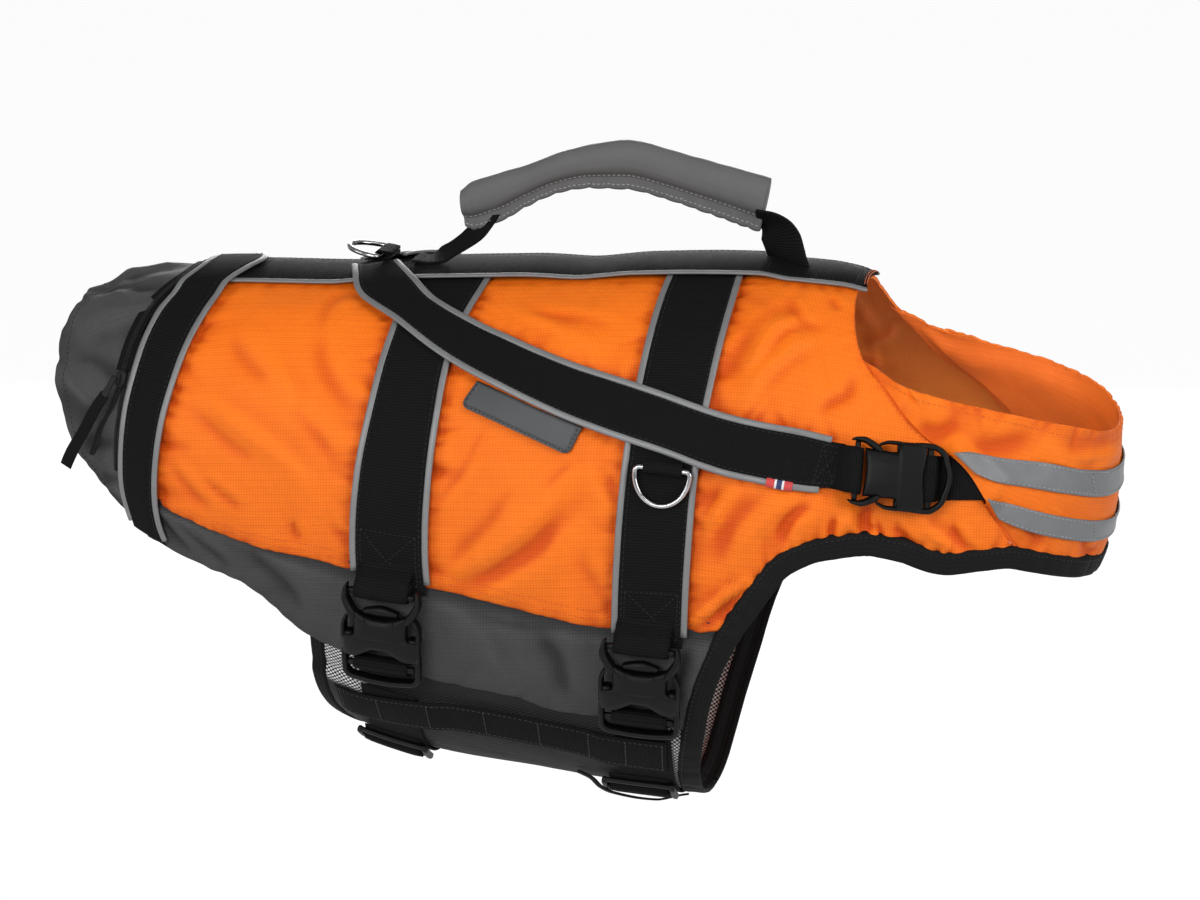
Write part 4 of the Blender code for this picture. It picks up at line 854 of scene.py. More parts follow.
def arc_table():
    """How far it is round each ring from the spine, seen along the dog's length."""
    station, angle = np.meshgrid(ARC_STATIONS, ARC_ANGLES, indexing="ij")
    steps = np.diff(form(station, angle)[..., 1:], axis=1)
    return np.concatenate([np.zeros((len(station), 1)), np.cumsum(np.linalg.norm(steps, axis=2), axis=1)], 1)


ARCS = arc_table()


def unrolled_flat(station, angle, points):
    """Flat sizes of a panel: along the dog, and round it from the spine."""
    i = np.clip(station / ARC_STATION, 0, len(ARC_STATIONS) - 1.001)
    j = np.clip(np.abs(angle) / ARC_ANGLE, 0, len(ARC_ANGLES) - 1.001)
    a, b = np.floor(i).astype(int), np.floor(j).astype(int)
    s, t = i - a, j - b
    arc = ((1 - s) * ((1 - t) * ARCS[a, b] + t * ARCS[a, b + 1])
           + s * ((1 - t) * ARCS[a + 1, b] + t * ARCS[a + 1, b + 1]))
    return np.stack([points[..., 0], arc * np.sign(angle)], axis=-1)


def edged(count, length, rim=0.5):
    """Shares of a length in mm, with close steps at both ends for a rounded edge."""
    first = rim / length
    inner = np.linspace(3 * first, 1 - 3 * first, count)
    return np.concatenate([[0, first], inner, [1 - first, 1]])


# Stitches: how long, the gap between two, half width and half height.
STITCHES = {
    "seam": (2.2, 1.3, 0.32, 0.22), "neck": (2.4, 1.3, 0.34, 0.24), "hem": (2.4, 1.3, 0.32, 0.2),
    "collar": (2.4, 1.2, 0.34, 0.22), "band": (2.6, 1.2, 0.34, 0.24), "box": (2.2, 0.9, 0.36, 0.34),
    "tab": (1.8, 0.9, 0.34, 0.24), "tape": (2.4, 1.1, 0.32, 0.4), "bar tack": (2.2, 0.1, 0.34, 0.5),
    "binding": (2.4, 1.2, 0.34, 0.26), "ladder": (2.4, 1.1, 0.34, 0.26), "rung": (1.9, 0.6, 0.42, 0.36),
    "label": (2.0, 1.0, 0.34, 0.24), "grip": (2.2, 1.1, 0.36, 0.3)}
STITCH_RINGS = ((-1, 0.25), (-0.45, 1.0), (0.45, 1.0), (1, 0.25))     # place along one, and its size there


class Build:
    """Collects closed bodies of quads into one mesh."""

    def __init__(self):
        self.points, self.faces, self.flats, self.slots = [], [], [], []
        self.marks = {}
        self.count = 0

    def add(self, points, faces, flat, **marks):
        points = np.asarray(points, float).reshape(-1, 3)
        a, b, c, d = (points[faces[:, k]] for k in range(4))
        volume = (dot(a, np.cross(b, c)) + dot(a, np.cross(c, d))).sum()
        self.points.append(points)
        self.faces.append((faces[:, ::-1] if volume < 0 else faces) + self.count)
        self.flats.append(np.asarray(flat, float).reshape(-1, 2))
        self.slots.append(np.zeros(len(faces), int))
        for name, values in marks.items():
            self.marks.setdefault(name, []).append((self.count, np.ravel(values)))
        self.count += len(points)

    def shell(self, outer, inner, flat, inner_slot=0, **marks):
        """A wall between two grids of points; inner_slot is the look of its inner face."""
        rows, columns = outer.shape[:2]
        size = rows * columns
        top = quads(rows, columns)
        edge = ([(i, 0) for i in range(rows)] + [(rows - 1, j) for j in range(1, columns)]
                + [(i, columns - 1) for i in range(rows - 2, -1, -1)]
                + [(0, j) for j in range(columns - 2, 0, -1)])
        loop = np.array([i * columns + j for i, j in edge])
        after = np.roll(loop, -1)
        rim = np.stack([after, loop, loop + size, after + size], axis=1)
        faces = np.concatenate([top, top[:, ::-1] + size, rim])
        points = np.concatenate([outer.reshape(-1, 3), inner.reshape(-1, 3)])
        doubled = {name: np.tile(np.ravel(values), 2) for name, values in marks.items()}
        self.add(points, faces, np.concatenate([flat.reshape(-1, 2)] * 2), **doubled)
        self.slots[-1][len(top):2 * len(top)] = inner_slot

    def tube(self, path, up, half_width, half_height, sides=12, power=2.0, closed=False):
        """A rounded bar along a path, with its own up direction."""
        if closed:
            tangents = unit(np.roll(path, -1, axis=0) - np.roll(path, 1, axis=0))
        else:
            tangents = unit(np.gradient(path, axis=0))
        up = np.broadcast_to(np.asarray(up, float), path.shape)
        up = unit(up - tangents * dot(up, tangents)[:, None])
        across = np.cross(up, tangents)
        x, z = rounded_section(sides, power)
        wide, high = (np.broadcast_to(np.asarray(half, float), (len(path),))[:, None, None]
                      for half in (half_width, half_height))
        self.rings(path[:, None] + across[:, None] * x[None, :, None] * wide
                   + up[:, None] * z[None, :, None] * high, closed)

    def rings(self, points, closed=False):
        """A body through rings of an even number of points, capped or joined end to end."""
        count, sides = points.shape[:2]
        faces = [quads(count, sides, closed, True)]
        if not closed:
            k = np.arange(sides // 2 - 1)
            cap = np.stack([k, k + 1, sides - 2 - k, sides - 1 - k], axis=1)
            faces += [cap, cap[:, ::-1] + (count - 1) * sides]
        steps = np.linalg.norm(np.diff(points, axis=0), axis=2).mean(axis=1)
        u = np.concatenate([[0], np.cumsum(steps)])[:, None] + np.zeros(sides)
        round_it = np.linalg.norm(np.diff(points, axis=1), axis=2)
        v = np.concatenate([np.zeros((count, 1)), np.cumsum(round_it, axis=1)], axis=1)
        self.add(points, np.concatenate(faces), np.stack([u, v], axis=-1))

    def copies(self, points, one):
        """Copies of a small body: points by copy and corner, and the faces of one copy."""
        count, corners = points.shape[:2]
        faces = (one[None] + corners * np.arange(count)[:, None, None]).reshape(-1, 4)
        self.add(points, faces, np.zeros((count * corners, 2)))

    def stitches(self, path, up, kind):
        """A row of stitches on a path, each a small raised thread."""
        length, gap, width, height = STITCHES[kind]
        run = run_lengths(path)
        count = int((run[-1] + gap) / (length + gap))
        if count < 1:
            return
        pitch = (run[-1] + gap) / count
        centres = (np.arange(count) + 0.5) * pitch - gap / 2
        up = np.broadcast_to(np.asarray(up, float), path.shape)

        def at(values, where):
            return np.stack([np.interp(where, run, values[:, k]) for k in range(3)], axis=-1)

        middle, normal = at(path, centres), unit(at(up, centres))
        tangent = unit(at(path, centres + 0.5) - at(path, centres - 0.5))
        across = np.cross(normal, tangent)
        half = (pitch - gap) / 2
        corners = []
        for along, size in STITCH_RINGS:
            for x, z in ((1, 0), (0, 1), (-1, 0), (0, -1)):
                rise = z * height * size + height * 0.35 * (size - 0.6)
                corners.append(middle + tangent * along * half + across * x * width * size + normal * rise)
        one = np.concatenate([quads(4, 4, False, True), [[0, 1, 2, 3]], [[15, 14, 13, 12]]])
        self.copies(np.stack(corners, axis=1), one)
        self.flats[-1][:, 0] = np.tile(np.repeat(np.arange(4), 4), count)

    def piece(self, name, looks, nodes=(), body="jacket", slot=None):
        """The mesh as a piece of the frame."""
        points = np.concatenate(self.points) * MM
        faces = np.concatenate(self.faces)
        flats = np.concatenate(self.flats)
        mesh = bpy.data.meshes.new(name)
        mesh.vertices.add(len(points))
        mesh.vertices.foreach_set("co", points.ravel())
        mesh.loops.add(faces.size)
        mesh.loops.foreach_set("vertex_index", faces.ravel().astype(np.int32))
        mesh.polygons.add(len(faces))
        mesh.polygons.foreach_set("loop_start", np.arange(0, faces.size, 4, dtype=np.int32))
        mesh.update(calc_edges=True)
        layer = mesh.uv_layers.new(name="flat")
        layer.data.foreach_set("uv", flats[faces.ravel()].ravel())
        for mark, parts in self.marks.items():
            values = np.zeros(len(points))
            for start, some in parts:
                values[start:start + len(some)] = some
            held = mesh.attributes.new(mark, "FLOAT", "POINT")
            held.data.foreach_set("value", values)
        for look in looks:
            mesh.materials.append(LOOKS[look])
        mesh.polygons.foreach_set("material_index", np.concatenate(self.slots).astype(np.int32))
        mesh.shade_smooth()
        made = bpy.data.objects.new(name, mesh)
        bpy.context.scene.collection.objects.link(made)
        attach(made, body)
        if nodes:
            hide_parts(*nodes)
        return made


RIM_SHARES = ((0, 0.30), (1, 0.80))        # how thick a wall is at its first two rows from an edge


def wall(build, place, rows, columns, outer, inner, unrolled=False, inner_slot=0, relief=False, net=None):
    """A wall over a patch of places, between two lifts, each a number or f(station, angle, u, v).

    The material can read the outer lift (relief), from which ripstop paints shade into troughs, or what a
    function net gives.
    """
    u, v = np.meshgrid(rows, columns, indexing="ij")
    station, angle = apart(place(u, v))
    out = outer(station, angle, u, v) if callable(outer) else outer + 0 * u
    low = inner(station, angle, u, v, out) if callable(inner) else inner + 0 * u
    fade = np.ones(u.shape)
    for axis in (0, 1):
        for k, share in RIM_SHARES:
            at = [slice(None), slice(None)]
            for index in (k, -1 - k):
                at[axis] = index
                fade[tuple(at)] = np.minimum(fade[tuple(at)], share)
    middle, half = (out + low) / 2, (out - low) / 2 * fade
    base, normal = lifted(station, angle, 0.0), normals(station, angle)
    top = base + normal * (middle + half)[..., None]
    bottom = base + normal * (middle - half)[..., None]
    sizes = unrolled_flat(station, angle, top) if unrolled else grid_flat(top)
    marks = {}
    if relief:
        marks["relief"] = out
    if net:
        marks["net"] = net(station, angle, u, v)
    build.shell(top, bottom, sizes, inner_slot, **marks)


def thick(size):
    """An inner lift for wall: a size in mm under the outer one."""
    def inner(station, angle, u, v, out):
        return out - size
    return inner


def walled(name, looks, nodes, slot, *grid, **options):
    """A piece of one wall; after the slot, which is not used, come wall's own values."""
    build = Build()
    wall(build, *grid, **options)
    return build.piece(name, looks, nodes, slot=slot)


def path_on(line, lift, start=0.0, end=1.0, count=200):
    """Points and normals along a line of places, at a lift (a number or f(station, angle))."""
    station, angle = apart(line(np.linspace(start, end, count)))
    height = lift(station, angle) if callable(lift) else lift + 0 * station
    return lifted(station, angle, height), normals(station, angle)


def column(place, v):
    """The line of a patch at one v."""
    def line(t):
        return place(t, 0 * t + v)
    return line


# ---------------------------------------------------------------- creases and puckers


CREASE_WIDTH, CREASE_DEPTH = 0.74, 1.55      # what the tables' widths and depths are multiplied by
CREASE_LEE = 0.4                             # how high the rise beside a crease is, as a share of it


def crease(places, width, depth):
    """A soft trough (depth below 0) or ridge along places, with a gentler rise on its lee side."""
    track = Track(Line(places))
    width, depth = CREASE_WIDTH * width, CREASE_DEPTH * depth

    def add(points, total):
        which, away, along = track.measure(points, 3.4 * width)
        taper = hump(along / track.length, 0.32, 0.68, 0.38)
        away = away + 0.25 * width * np.sin(along / (2.6 * width))
        shape = np.exp(-np.abs(away / width) ** 1.6)
        total[which] += depth * taper * (shape - CREASE_LEE * bell((away - 1.8 * width) / (1.2 * width)))
    return add


def puckers(line, seed, spacing=9.5, depth=0.7, reach=8.0, pinch=0.6, start=0.0, end=1.0):
    """Small uneven troughs that run out from a sewn edge, and the dip along it."""
    track = Track(line, start, end)
    random = np.random.default_rng(seed)
    count = max(1, int(track.length / spacing))
    centres = (np.arange(count) + 0.5 + random.uniform(-0.32, 0.32, count)) * spacing
    depths = depth * random.uniform(0.2, 1.3, count)
    widths = spacing * random.uniform(0.20, 0.34, count)
    reaches = reach * random.uniform(0.5, 1.5, count)
    leans = random.uniform(-0.6, 0.6, count)

    def add(points, total):
        which, away, along = track.measure(points, 3 * reach)
        far = np.abs(away)
        lift = -pinch * bell(far / (0.8 * reach))
        for centre, deep, wide, long, lean in zip(centres, depths, widths, reaches, leans):
            lift = lift - deep * bell((along - centre - lean * far) / wide) * np.exp(-far / long)
        total[which] += lift
    return add


CRUMPLE_WAVES = 5


def crumple(points, seed, size):
    """Ridged unevenness of crumpled cloth at points, about -1 to 1.5, with folds of about a size."""
    random = np.random.default_rng(seed)
    bent_points = points + 0.22 * size * np.sin(points[..., ::-1] / (0.55 * size))
    total = np.zeros(points.shape[:-1])
    for _ in range(CRUMPLE_WAVES):
        way = unit(random.normal(0, 1, 3))
        wave = size * random.uniform(0.7, 1.5)
        total += 1 - np.abs(np.sin(math.pi * (dot(bent_points, way) / wave + random.uniform(0, 1)))) / 0.637
    return total / math.sqrt(CRUMPLE_WAVES)


def marked(marks, station, angle):
    """What marks add to the skin at places."""
    points = form(station, angle).reshape(-1, 3)
    total = np.zeros(len(points))
    for mark in marks:
        mark(points, total)
    return total.reshape(station.shape)


# ---------------------------------------------------------------- cloth panels

# Main creases of the right side panel, by field. half width, depth (below 0 a trough), places.
CREASES = [
    (8, -1.1, [(3.99, 37.8), (4.16, 51), (4.35, 59.2), (4.55, 63.5)]),
    (8, -1.0, [(3.26, 43), (3.56, 53.5), (3.76, 58)]),
    (7, -1.2, [(3.87, 56.5), (4.04, 65), (4.28, 73.8), (4.40, 77.5)]),
    (7, -1.1, [(3.01, 70), (3.26, 72.8), (3.55, 78.8), (3.73, 80.8)]),
    (8, 1.1, [(3.13, 65.2), (3.53, 71.5), (3.97, 80), (4.26, 85.2)]),
    (7, -0.8, [(4.24, 16.2), (4.07, 21.2), (3.98, 39.5)]),
    (4, -1.2, [(3.26, 88.5), (3.50, 90.8), (3.62, 92.5)]),
    (4, -1.6, [(3.99, 90.5), (4.10, 93.8)]),
    (4, -1.3, [(4.33, 89.5), (4.59, 91)]),
    (7, 1.0, [(3.59, 47.8), (3.83, 57.5), (4.19, 71)]),
    (5, -1.0, [(2.85, 88), (3.10, 91), (3.25, 94), (3.38, 96)]),
    (4, -0.9, [(5.62, 60.8), (5.51, 68.5), (5.40, 75.8), (5.25, 83.8)]),
    (7, -1.2, [(5.83, 77), (5.69, 84.2), (5.46, 89.8), (5.31, 93)]),
    (8, 1.7, [(6.35, 71.2), (6.21, 78.5), (5.96, 84.8), (5.67, 90.5), (5.33, 95)]),
    (9, -1.9, [(6.21, 80.5), (6.09, 87.8), (5.80, 91.5), (5.47, 95)]),
    (5, -0.9, [(6.28, 70.5), (6.16, 74.5), (6.07, 77.5)]),
    (7, 1.0, [(6.32, 70.5), (6.46, 76.2), (6.59, 82.5)]),
    (4, -1.1, [(6.55, 73.2), (6.61, 79.2)]),
    (6, -1.0, [(6.34, 88.5), (6.54, 94.2), (6.65, 98.5)]),
    (6, 0.9, [(5.48, 22.5), (6.00, 35.8), (6.41, 41.8)]),
    (6, -0.8, [(5.65, 27.5), (6.05, 30.5), (6.45, 35)]),
    (6, -1.1, [(8.35, 18.5), (8.51, 25.2), (8.78, 30.2), (9.48, 32.2)]),
    (7, 1.5, [(7.74, 49.8), (7.98, 41.2), (8.21, 34.2), (8.56, 30.8), (8.93, 31.8)]),
    (4, -0.8, [(7.94, 47.8), (8.20, 41.2), (8.44, 35.2), (8.94, 33.5)]),
    (8, 1.4, [(7.84, 54.8), (8.09, 47.8), (8.55, 40.8), (9.37, 35.5)]),
    (7, -1.0, [(8.10, 53.8), (8.34, 47.5), (8.80, 41.5), (9.26, 38.8)]),
    (6, -1.5, [(9.12, 58.2), (9.38, 55.8), (9.83, 53.8), (10.06, 49.8)]),
    (7, -0.8, [(7.59, 48.2), (7.63, 43), (7.80, 32.8)]),
    (5, -1.0, [(9.42, 19.5), (9.90, 26.2)]),
    (5, -2.9, [(8.94, 78.2), (8.66, 80.5), (8.51, 83.8), (8.48, 86.2)]),
    (9, 1.4, [(8.82, 76.2), (8.44, 79.2), (8.15, 83.8), (7.98, 87.8)]),
    (8, -1.4, [(8.34, 74.5), (8.07, 79), (7.80, 85), (7.68, 90)]),
    (5, -1.3, [(7.72, 73), (7.60, 78), (7.51, 81.8)]),
    (6, 1.2, [(7.98, 73.2), (7.72, 79.5), (7.55, 85.5)]),
    (3.4, -2.4, [(9.25, 82), (9.18, 84.8), (9.14, 86.5)]),
    (5, 2.6, [(9.54, 81.2), (9.46, 84.5), (9.45, 87.5)]),
    (3.8, -3.0, [(9.78, 83.8), (9.70, 86.5), (9.78, 89.5)]),
    (3.6, 1.6, [(9.65, 88), (9.85, 90.8)]),
    (4, -2.3, [(10.07, 89.5), (10.15, 92.8), (10.33, 97.5)]),
    (5, 2.1, [(10.37, 91.8), (10.54, 96.8), (10.66, 102.2)]),
    (4, -1.9, [(10.78, 96.8), (10.79, 101.5), (10.80, 105.5)]),
    (4, 2.4, [(7.46, 99), (7.79, 94.8), (8.16, 91.2)]),
    (4, -2.5, [(7.49, 101), (7.84, 96.5), (8.10, 93)])]

# Creases of the lower panels, and of the rump piece.
LOWER_CREASES = [
    (6, -1.6, [(2.62, 103), (2.95, 108), (3.25, 113)]), (5, -1.3, [(2.95, 103), (3.30, 107), (3.55, 110)]),
    (8, -1.4, [(3.60, 101), (3.95, 105), (4.15, 112)]), (7, 1.3, [(5.35, 100), (5.60, 107), (5.75, 116)]),
    (9, -1.8, [(6.05, 104), (6.25, 110), (6.30, 120)]), (6, -1.1, [(5.55, 101), (5.90, 103), (6.35, 103)]),
    (7, -1.5, [(7.45, 103), (7.35, 111), (7.20, 119)]), (5, 1.2, [(4.55, 99), (4.60, 106), (4.50, 114)])]
RUMP_CREASES = [
    (9, -2.2, [(1.62, -68), (1.10, -62), (0.62, -58)]), (7, -1.8, [(1.60, -72), (1.15, -80), (0.80, -90)]),
    (12, 2.2, [(2.10, -30), (1.40, -36), (0.60, -40)]), (10, -1.6, [(2.00, -20), (1.20, -18), (0.60, -12)]),
    (6, -1.5, [(1.75, -88), (1.30, -92), (0.85, -95)]), (5, -1.4, [(1.85, -99), (1.55, -103), (1.30, -106)]),
    (9, 1.8, [(1.45, -82), (1.00, -76), (0.50, -70)]), (10, -2.0, [(1.90, 30), (1.20, 38), (0.55, 44)]),
    (9, -1.9, [(1.70, 66), (1.10, 60), (0.60, 62)]), (8, 1.9, [(1.80, 82), (1.20, 78), (0.60, 80)]),
    (7, -1.6, [(1.75, 92), (1.30, 96), (0.90, 98)]), (12, 1.8, [(2.00, 12), (1.30, 10), (0.60, 16)])]
BELLY_CREASES = [(10, -1.6, [(5.0, -150), (5.6, -160), (6.3, -164)]),
                 (8, 1.0, [(6.4, -140), (6.0, -134), (5.7, -132)]),
                 (10, -1.5, [(5.2, -200), (5.9, -208), (6.5, -206)])]
# Broad folds of the rump piece: angle, station, half width in degrees, depth.
RUMP_DRAPE = [(-70, 0.9, 9, 2.0), (-38, 1.4, 7, 1.6), (52, 1.0, 8, 1.8), (84, 1.5, 8, -1.6),
              (-92, 1.5, 7, -2.0), (18, 1.2, 6, 1.2)]
# Folds of the chest piece; angles run on from the right side past the front.
CHEST_CREASES = [
    (8, 1.8, [(11.20, -60), (11.55, -66), (12.10, -74)]),
    (8, -1.8, [(11.15, -72), (11.50, -78), (12.00, -82)]),
    (9, -1.6, [(11.80, -88), (12.20, -96), (12.70, -108)]),
    (7, 1.5, [(12.60, -120), (12.75, -150), (12.70, -180)]),
    (8, -1.7, [(11.75, -118), (11.60, -124), (11.55, -128)]),
    (10, 1.6, [(12.70, -112), (12.40, -140), (12.80, -166)]),
    (6, -1.4, [(11.90, -146), (11.76, -154), (11.80, -164)]),
    (9, -1.5, [(12.75, -196), (12.55, -214), (12.40, -232)]),
    (8, 1.7, [(11.20, -300), (11.60, -293), (12.10, -284)]),
    (8, -1.7, [(11.20, -289), (11.55, -282), (12.00, -276)]),
    (9, -1.5, [(11.85, -270), (12.25, -262), (12.65, -250)]),
    (7, -1.4, [(11.80, -240), (11.65, -234), (11.58, -230)])]


def left_of(creases, seed):
    """Like creases for the hidden side, a little apart in place, depth and run."""
    random = np.random.default_rng(seed)
    made = []
    for width, depth, places in creases:
        ds, da = random.uniform(-0.14, 0.14), random.uniform(-4.5, 4.5)
        turned = random.uniform(-0.12, 0.12)
        middle = places[len(places) // 2][0]
        moved = [(s + ds + turned * (k - 1), a + da + 4 * (s - middle) * turned)
                 for k, (s, a) in enumerate(places)]
        made.append((width * random.uniform(0.85, 1.2), depth * random.uniform(0.75, 1.15), moved))
    return made


def creased(creases, side=1):
    """What marked needs for a table of creases, on one side."""
    return [crease(mirrored(places, side), width, depth) for width, depth, places in creases]


def side_creases(creases, side, seed):
    """A side's creases from the right side's table."""
    return creased(creases if side < 0 else left_of(creases, seed), side)


def edge_lines(side):
    """The sewn edges that cross a side panel, each with its puckers' spacing, depth, reach and pinch."""
    def over(edges, column_of, first=0):
        return Line([(row[column_of], row[0] * side) for row in edges[first:]])

    lower_seam = Line([(s, a * side) for _, s, a in SIDE_RIBS[:10]])
    spine_edge = Line([(s, side * angle_of(s, half)) for s, half in SPINE_EDGES])
    neck_seam = Line([(s, a * side) for _, s, a in NECK_SEAM[2:]])
    return [
        (over(REAR_BAND_EDGES, 2, 2), 11.0, 2.7, 7.0, 1.0),
        (over(REAR_BAND_EDGES, 2, 2), 27.0, 1.3, 20.0, 0.0),
        (over(MID_STRAP_EDGES, 1, 1), 10.0, 2.6, 6.5, 1.0),
        (over(MID_STRAP_EDGES, 1, 1), 30.0, 1.0, 17.0, 0.0),
        (over(MID_STRAP_EDGES, 2, 1), 10.5, 2.5, 6.5, 1.0),
        (over(MID_STRAP_EDGES, 2, 1), 26.0, 1.2, 18.0, 0.0),
        (over(FRONT_STRAP_EDGES, 1), 11.0, 2.3, 6.0, 1.0),
        (over(FRONT_STRAP_EDGES, 2), 10.5, 2.5, 6.5, 1.0),
        (over(FRONT_STRAP_EDGES, 2), 28.0, 1.2, 20.0, 0.0),
        (side_line(DIAGONAL_LOW[2:], side), 10.0, 1.3, 4.5, 0.8),
        (side_line(DIAGONAL_HIGH[2:], side), 11.0, 2.3, 6.0, 1.0),
        (side_line(DIAGONAL_HIGH[3:], side), 34.0, 1.1, 22.0, 0.0),
        (lower_seam, 8.5, 0.9, 5.0, 0.5),
        (lower_seam, 24.0, 1.3, 18.0, 0.0),
        (spine_edge, 12.0, 1.0, 5.0, 0.6),
        (neck_seam, 9.0, 0.7, 6.0, 0.4),
        (side_line(LEG_EDGE[7:19], side), 9.5, 3.2, 10.0, 0.2)]


def angle_of(station, y):
    """The angle near the spine at which the form is a distance y from the middle."""
    half, power = (np.interp(station, np.arange(len(RINGS)), RING_SIZES[:, k]) for k in (4, 6))
    return np.degrees(np.arcsin(np.minimum(np.abs(y) / half, 1.0) ** (power / 2)))


def under_straps(station, angle):
    """1 on a side panel where a strap lies on it, and 0 elsewhere."""
    away = np.abs(angle)
    total = np.zeros(station.shape)
    for edges in (REAR_BAND_EDGES, MID_STRAP_EDGES, FRONT_STRAP_EDGES):
        table = np.array(edges)
        rear, front = (np.interp(away, table[:, 0], table[:, k]) for k in (1, 2))
        total = np.maximum(total, hump(station, rear, front, 0.06))
    low_angle, high_angle = (np.interp(station, *np.array(edge).T) for edge in (DIAGONAL_LOW, DIAGONAL_HIGH))
    crossing = hump(away, high_angle, low_angle, 2.0) * hump(station, 4.2, 9.6, 0.1)
    label = hump(station, 5.4, 6.35, 0.08) * hump(away, 52, 71, 2.0) * (angle < 0)
    return np.maximum(np.maximum(total, crossing), label)


def side_marks(side):
    marks = side_creases(CREASES, side, 3)
    for k, (line, *sizes) in enumerate(edge_lines(side)):
        marks.append(puckers(line, 20 + k + (side > 0) * 40, *sizes))
    return marks


MARKS = {side: side_marks(side) for _, side in SIDES}
PANEL_GRID = {"right": (266, 114), "left": (180, 80)}     # rows along and columns around


def side_lift(station, angle, *_):
    """The outer face of the side panel over its skin; ridges are pressed down under the straps."""
    side = -1 if np.mean(angle) < 0 else 1
    total = marked(MARKS[side], station, angle)
    return np.where(total > -0.3, -0.3 + (total + 0.3) * (1 - 0.95 * under_straps(station, angle)), total)


def sew_row(thread, place, run, v, outer, over, kind):
    """Stitches along a patch at one v, over its outer lift; run is start, end and count."""
    u = np.linspace(*run)
    station, angle = apart(place(u, 0 * u + v))
    height = outer(station, angle, u, 0 * u + v) + over
    thread.stitches(lifted(station, angle, height), normals(station, angle), kind)


def side_panel(name, side):
    """A foam-filled orange panel, with the stitching along its lower and its front edge."""
    ribs = np.array(SIDE_RIBS)
    top = Line([(s, 0.6 * side) for s in ribs[:, 0]], even=True)
    low = Line([(s, a * side) for s, a in ribs[:, 1:]], corners=(SIDE_CORNER,), even=True)
    shares = [share for share, _, _ in NECK_SEAM]
    front = Line([(s, a * side) for _, s, a in NECK_SEAM], knots=shares)
    place = patch(top, low, side_line(SIDE_REAR, side), front)
    corner = SIDE_CORNER / (len(ribs) - 1)

    def inner(station, angle, u, v, out):
        foam = hump(u, 0.05, corner - 0.06, 0.05) * hump(v, 0.10, 0.90, 0.09)
        return np.minimum(out, 0.3) - SEAM_WALL - (FOAM_WALL - SEAM_WALL) * foam

    def neck(t):
        return place(0 * t + 0.989, t)

    rows, columns = PANEL_GRID[name]
    made = walled(f"side_panel_{name}_cloth", ["orange", "orange_inside_painted_light"], [f"side_panel_{name}"],
                  "orange_ripstop", place, edged(rows, 560), edged(columns, 240), side_lift, inner,
                  unrolled=True, relief=True, inner_slot=1)
    thread = Build()
    for line, over, start, end, count, kind in (
            (column(place, 0.972), 0.1, 0.02, corner - 0.01, 400, "seam"),
            (column(place, 0.985), 0.05, 0.02, corner - 0.01, 400, "seam"),
            (neck, 0.08, 0.16, 0.78, 300, "neck")):
        path, up = path_on(line, lambda s, a, over=over: side_lift(s, a) + over, start, end, count)
        thread.stitches(path, up, kind)
    thread.piece(f"side_panel_{name}_stitching", ["orange_thread"], slot="orange_ripstop")


def lower_panel(name, side):
    """A grey lower panel, tucked under the side panel at its upper edge."""
    ribs = np.array(LOWER_RIBS)
    top, seam = (Line([(s, (a - up) * side) for s, a in ribs[:, :2]], even=True) for up in (2.6, 0))
    low = Line([(s, a * side) for s, a in ribs[:, 2:]], even=True)
    place = patch(top, low, side_line(LOWER_REAR, side), side_line(LOWER_FRONT, side))
    marks = side_creases(LOWER_CREASES, side, 5)
    marks.append(puckers(seam, 70 + side, 9.0, 0.7, 7.0, 0.2))
    marks.append(puckers(low, 80 + side, 14.0, 0.8, 8.0, 0.3))

    def outer(station, angle, u, v):
        total = marked(marks, station, angle) + 0.45 * crumple(form(station, angle), 8, 40)
        tuck = 1 - ramp(v, 0.10, 0.24)
        return np.minimum(total, 1.0) * (1 - tuck) - 2.75 * tuck

    made = walled(f"lower_panel_{name}_cloth", ["grey"], [f"lower_panel_{name}"], "grey_ripstop",
                  place, edged(180, 400), edged(36, 60), outer, thick(CLOTH_WALL), unrolled=True, relief=True)


def rump_piece():
    """The grey piece over the rump, sewn in at its front and crumpled towards its free hem."""
    hem, front = over_back(RUMP_RIBS)
    place = between(hem, front)
    marks = creased(RUMP_CREASES)
    marks.append(puckers(hem, 91, 15.0, 1.0, 10.0, 0.2))
    marks.append(puckers(column(place, 0.86), 92, 10.0, 0.6, 8.0, 0.3))

    def outer(station, angle, u, v):
        drape = sum(depth * bell((angle - a) / width) * bell((station - s) / 0.7)
                    for a, s, width, depth in RUMP_DRAPE)
        crumpled = 2.3 * crumple(form(station, angle), 7, 46) * (1 - ramp(v, 0.30, 0.62))
        creases = marked(marks, station, angle) * (1 - 0.8 * ramp(v, 0.80, 0.92))
        return (1 - ramp(v, 0.3, 0.6)) * drape + crumpled + creases

    made = walled("rump_piece_cloth", ["grey"], ["rump_piece"], "grey_ripstop",
                  place, edged(246, 560), edged(58, 120), outer, thick(1.6), unrolled=True, relief=True)
    thread = Build()
    sew_row(thread, place, (0.01, 0.99, 500), 0.085, outer, 0.05, "hem")
    thread.piece("rump_hem_stitching", ["black_thread"], slot="grey_ripstop")


SEAM_MARGIN = 0.011       # share of the collar's run that lies under each side panel


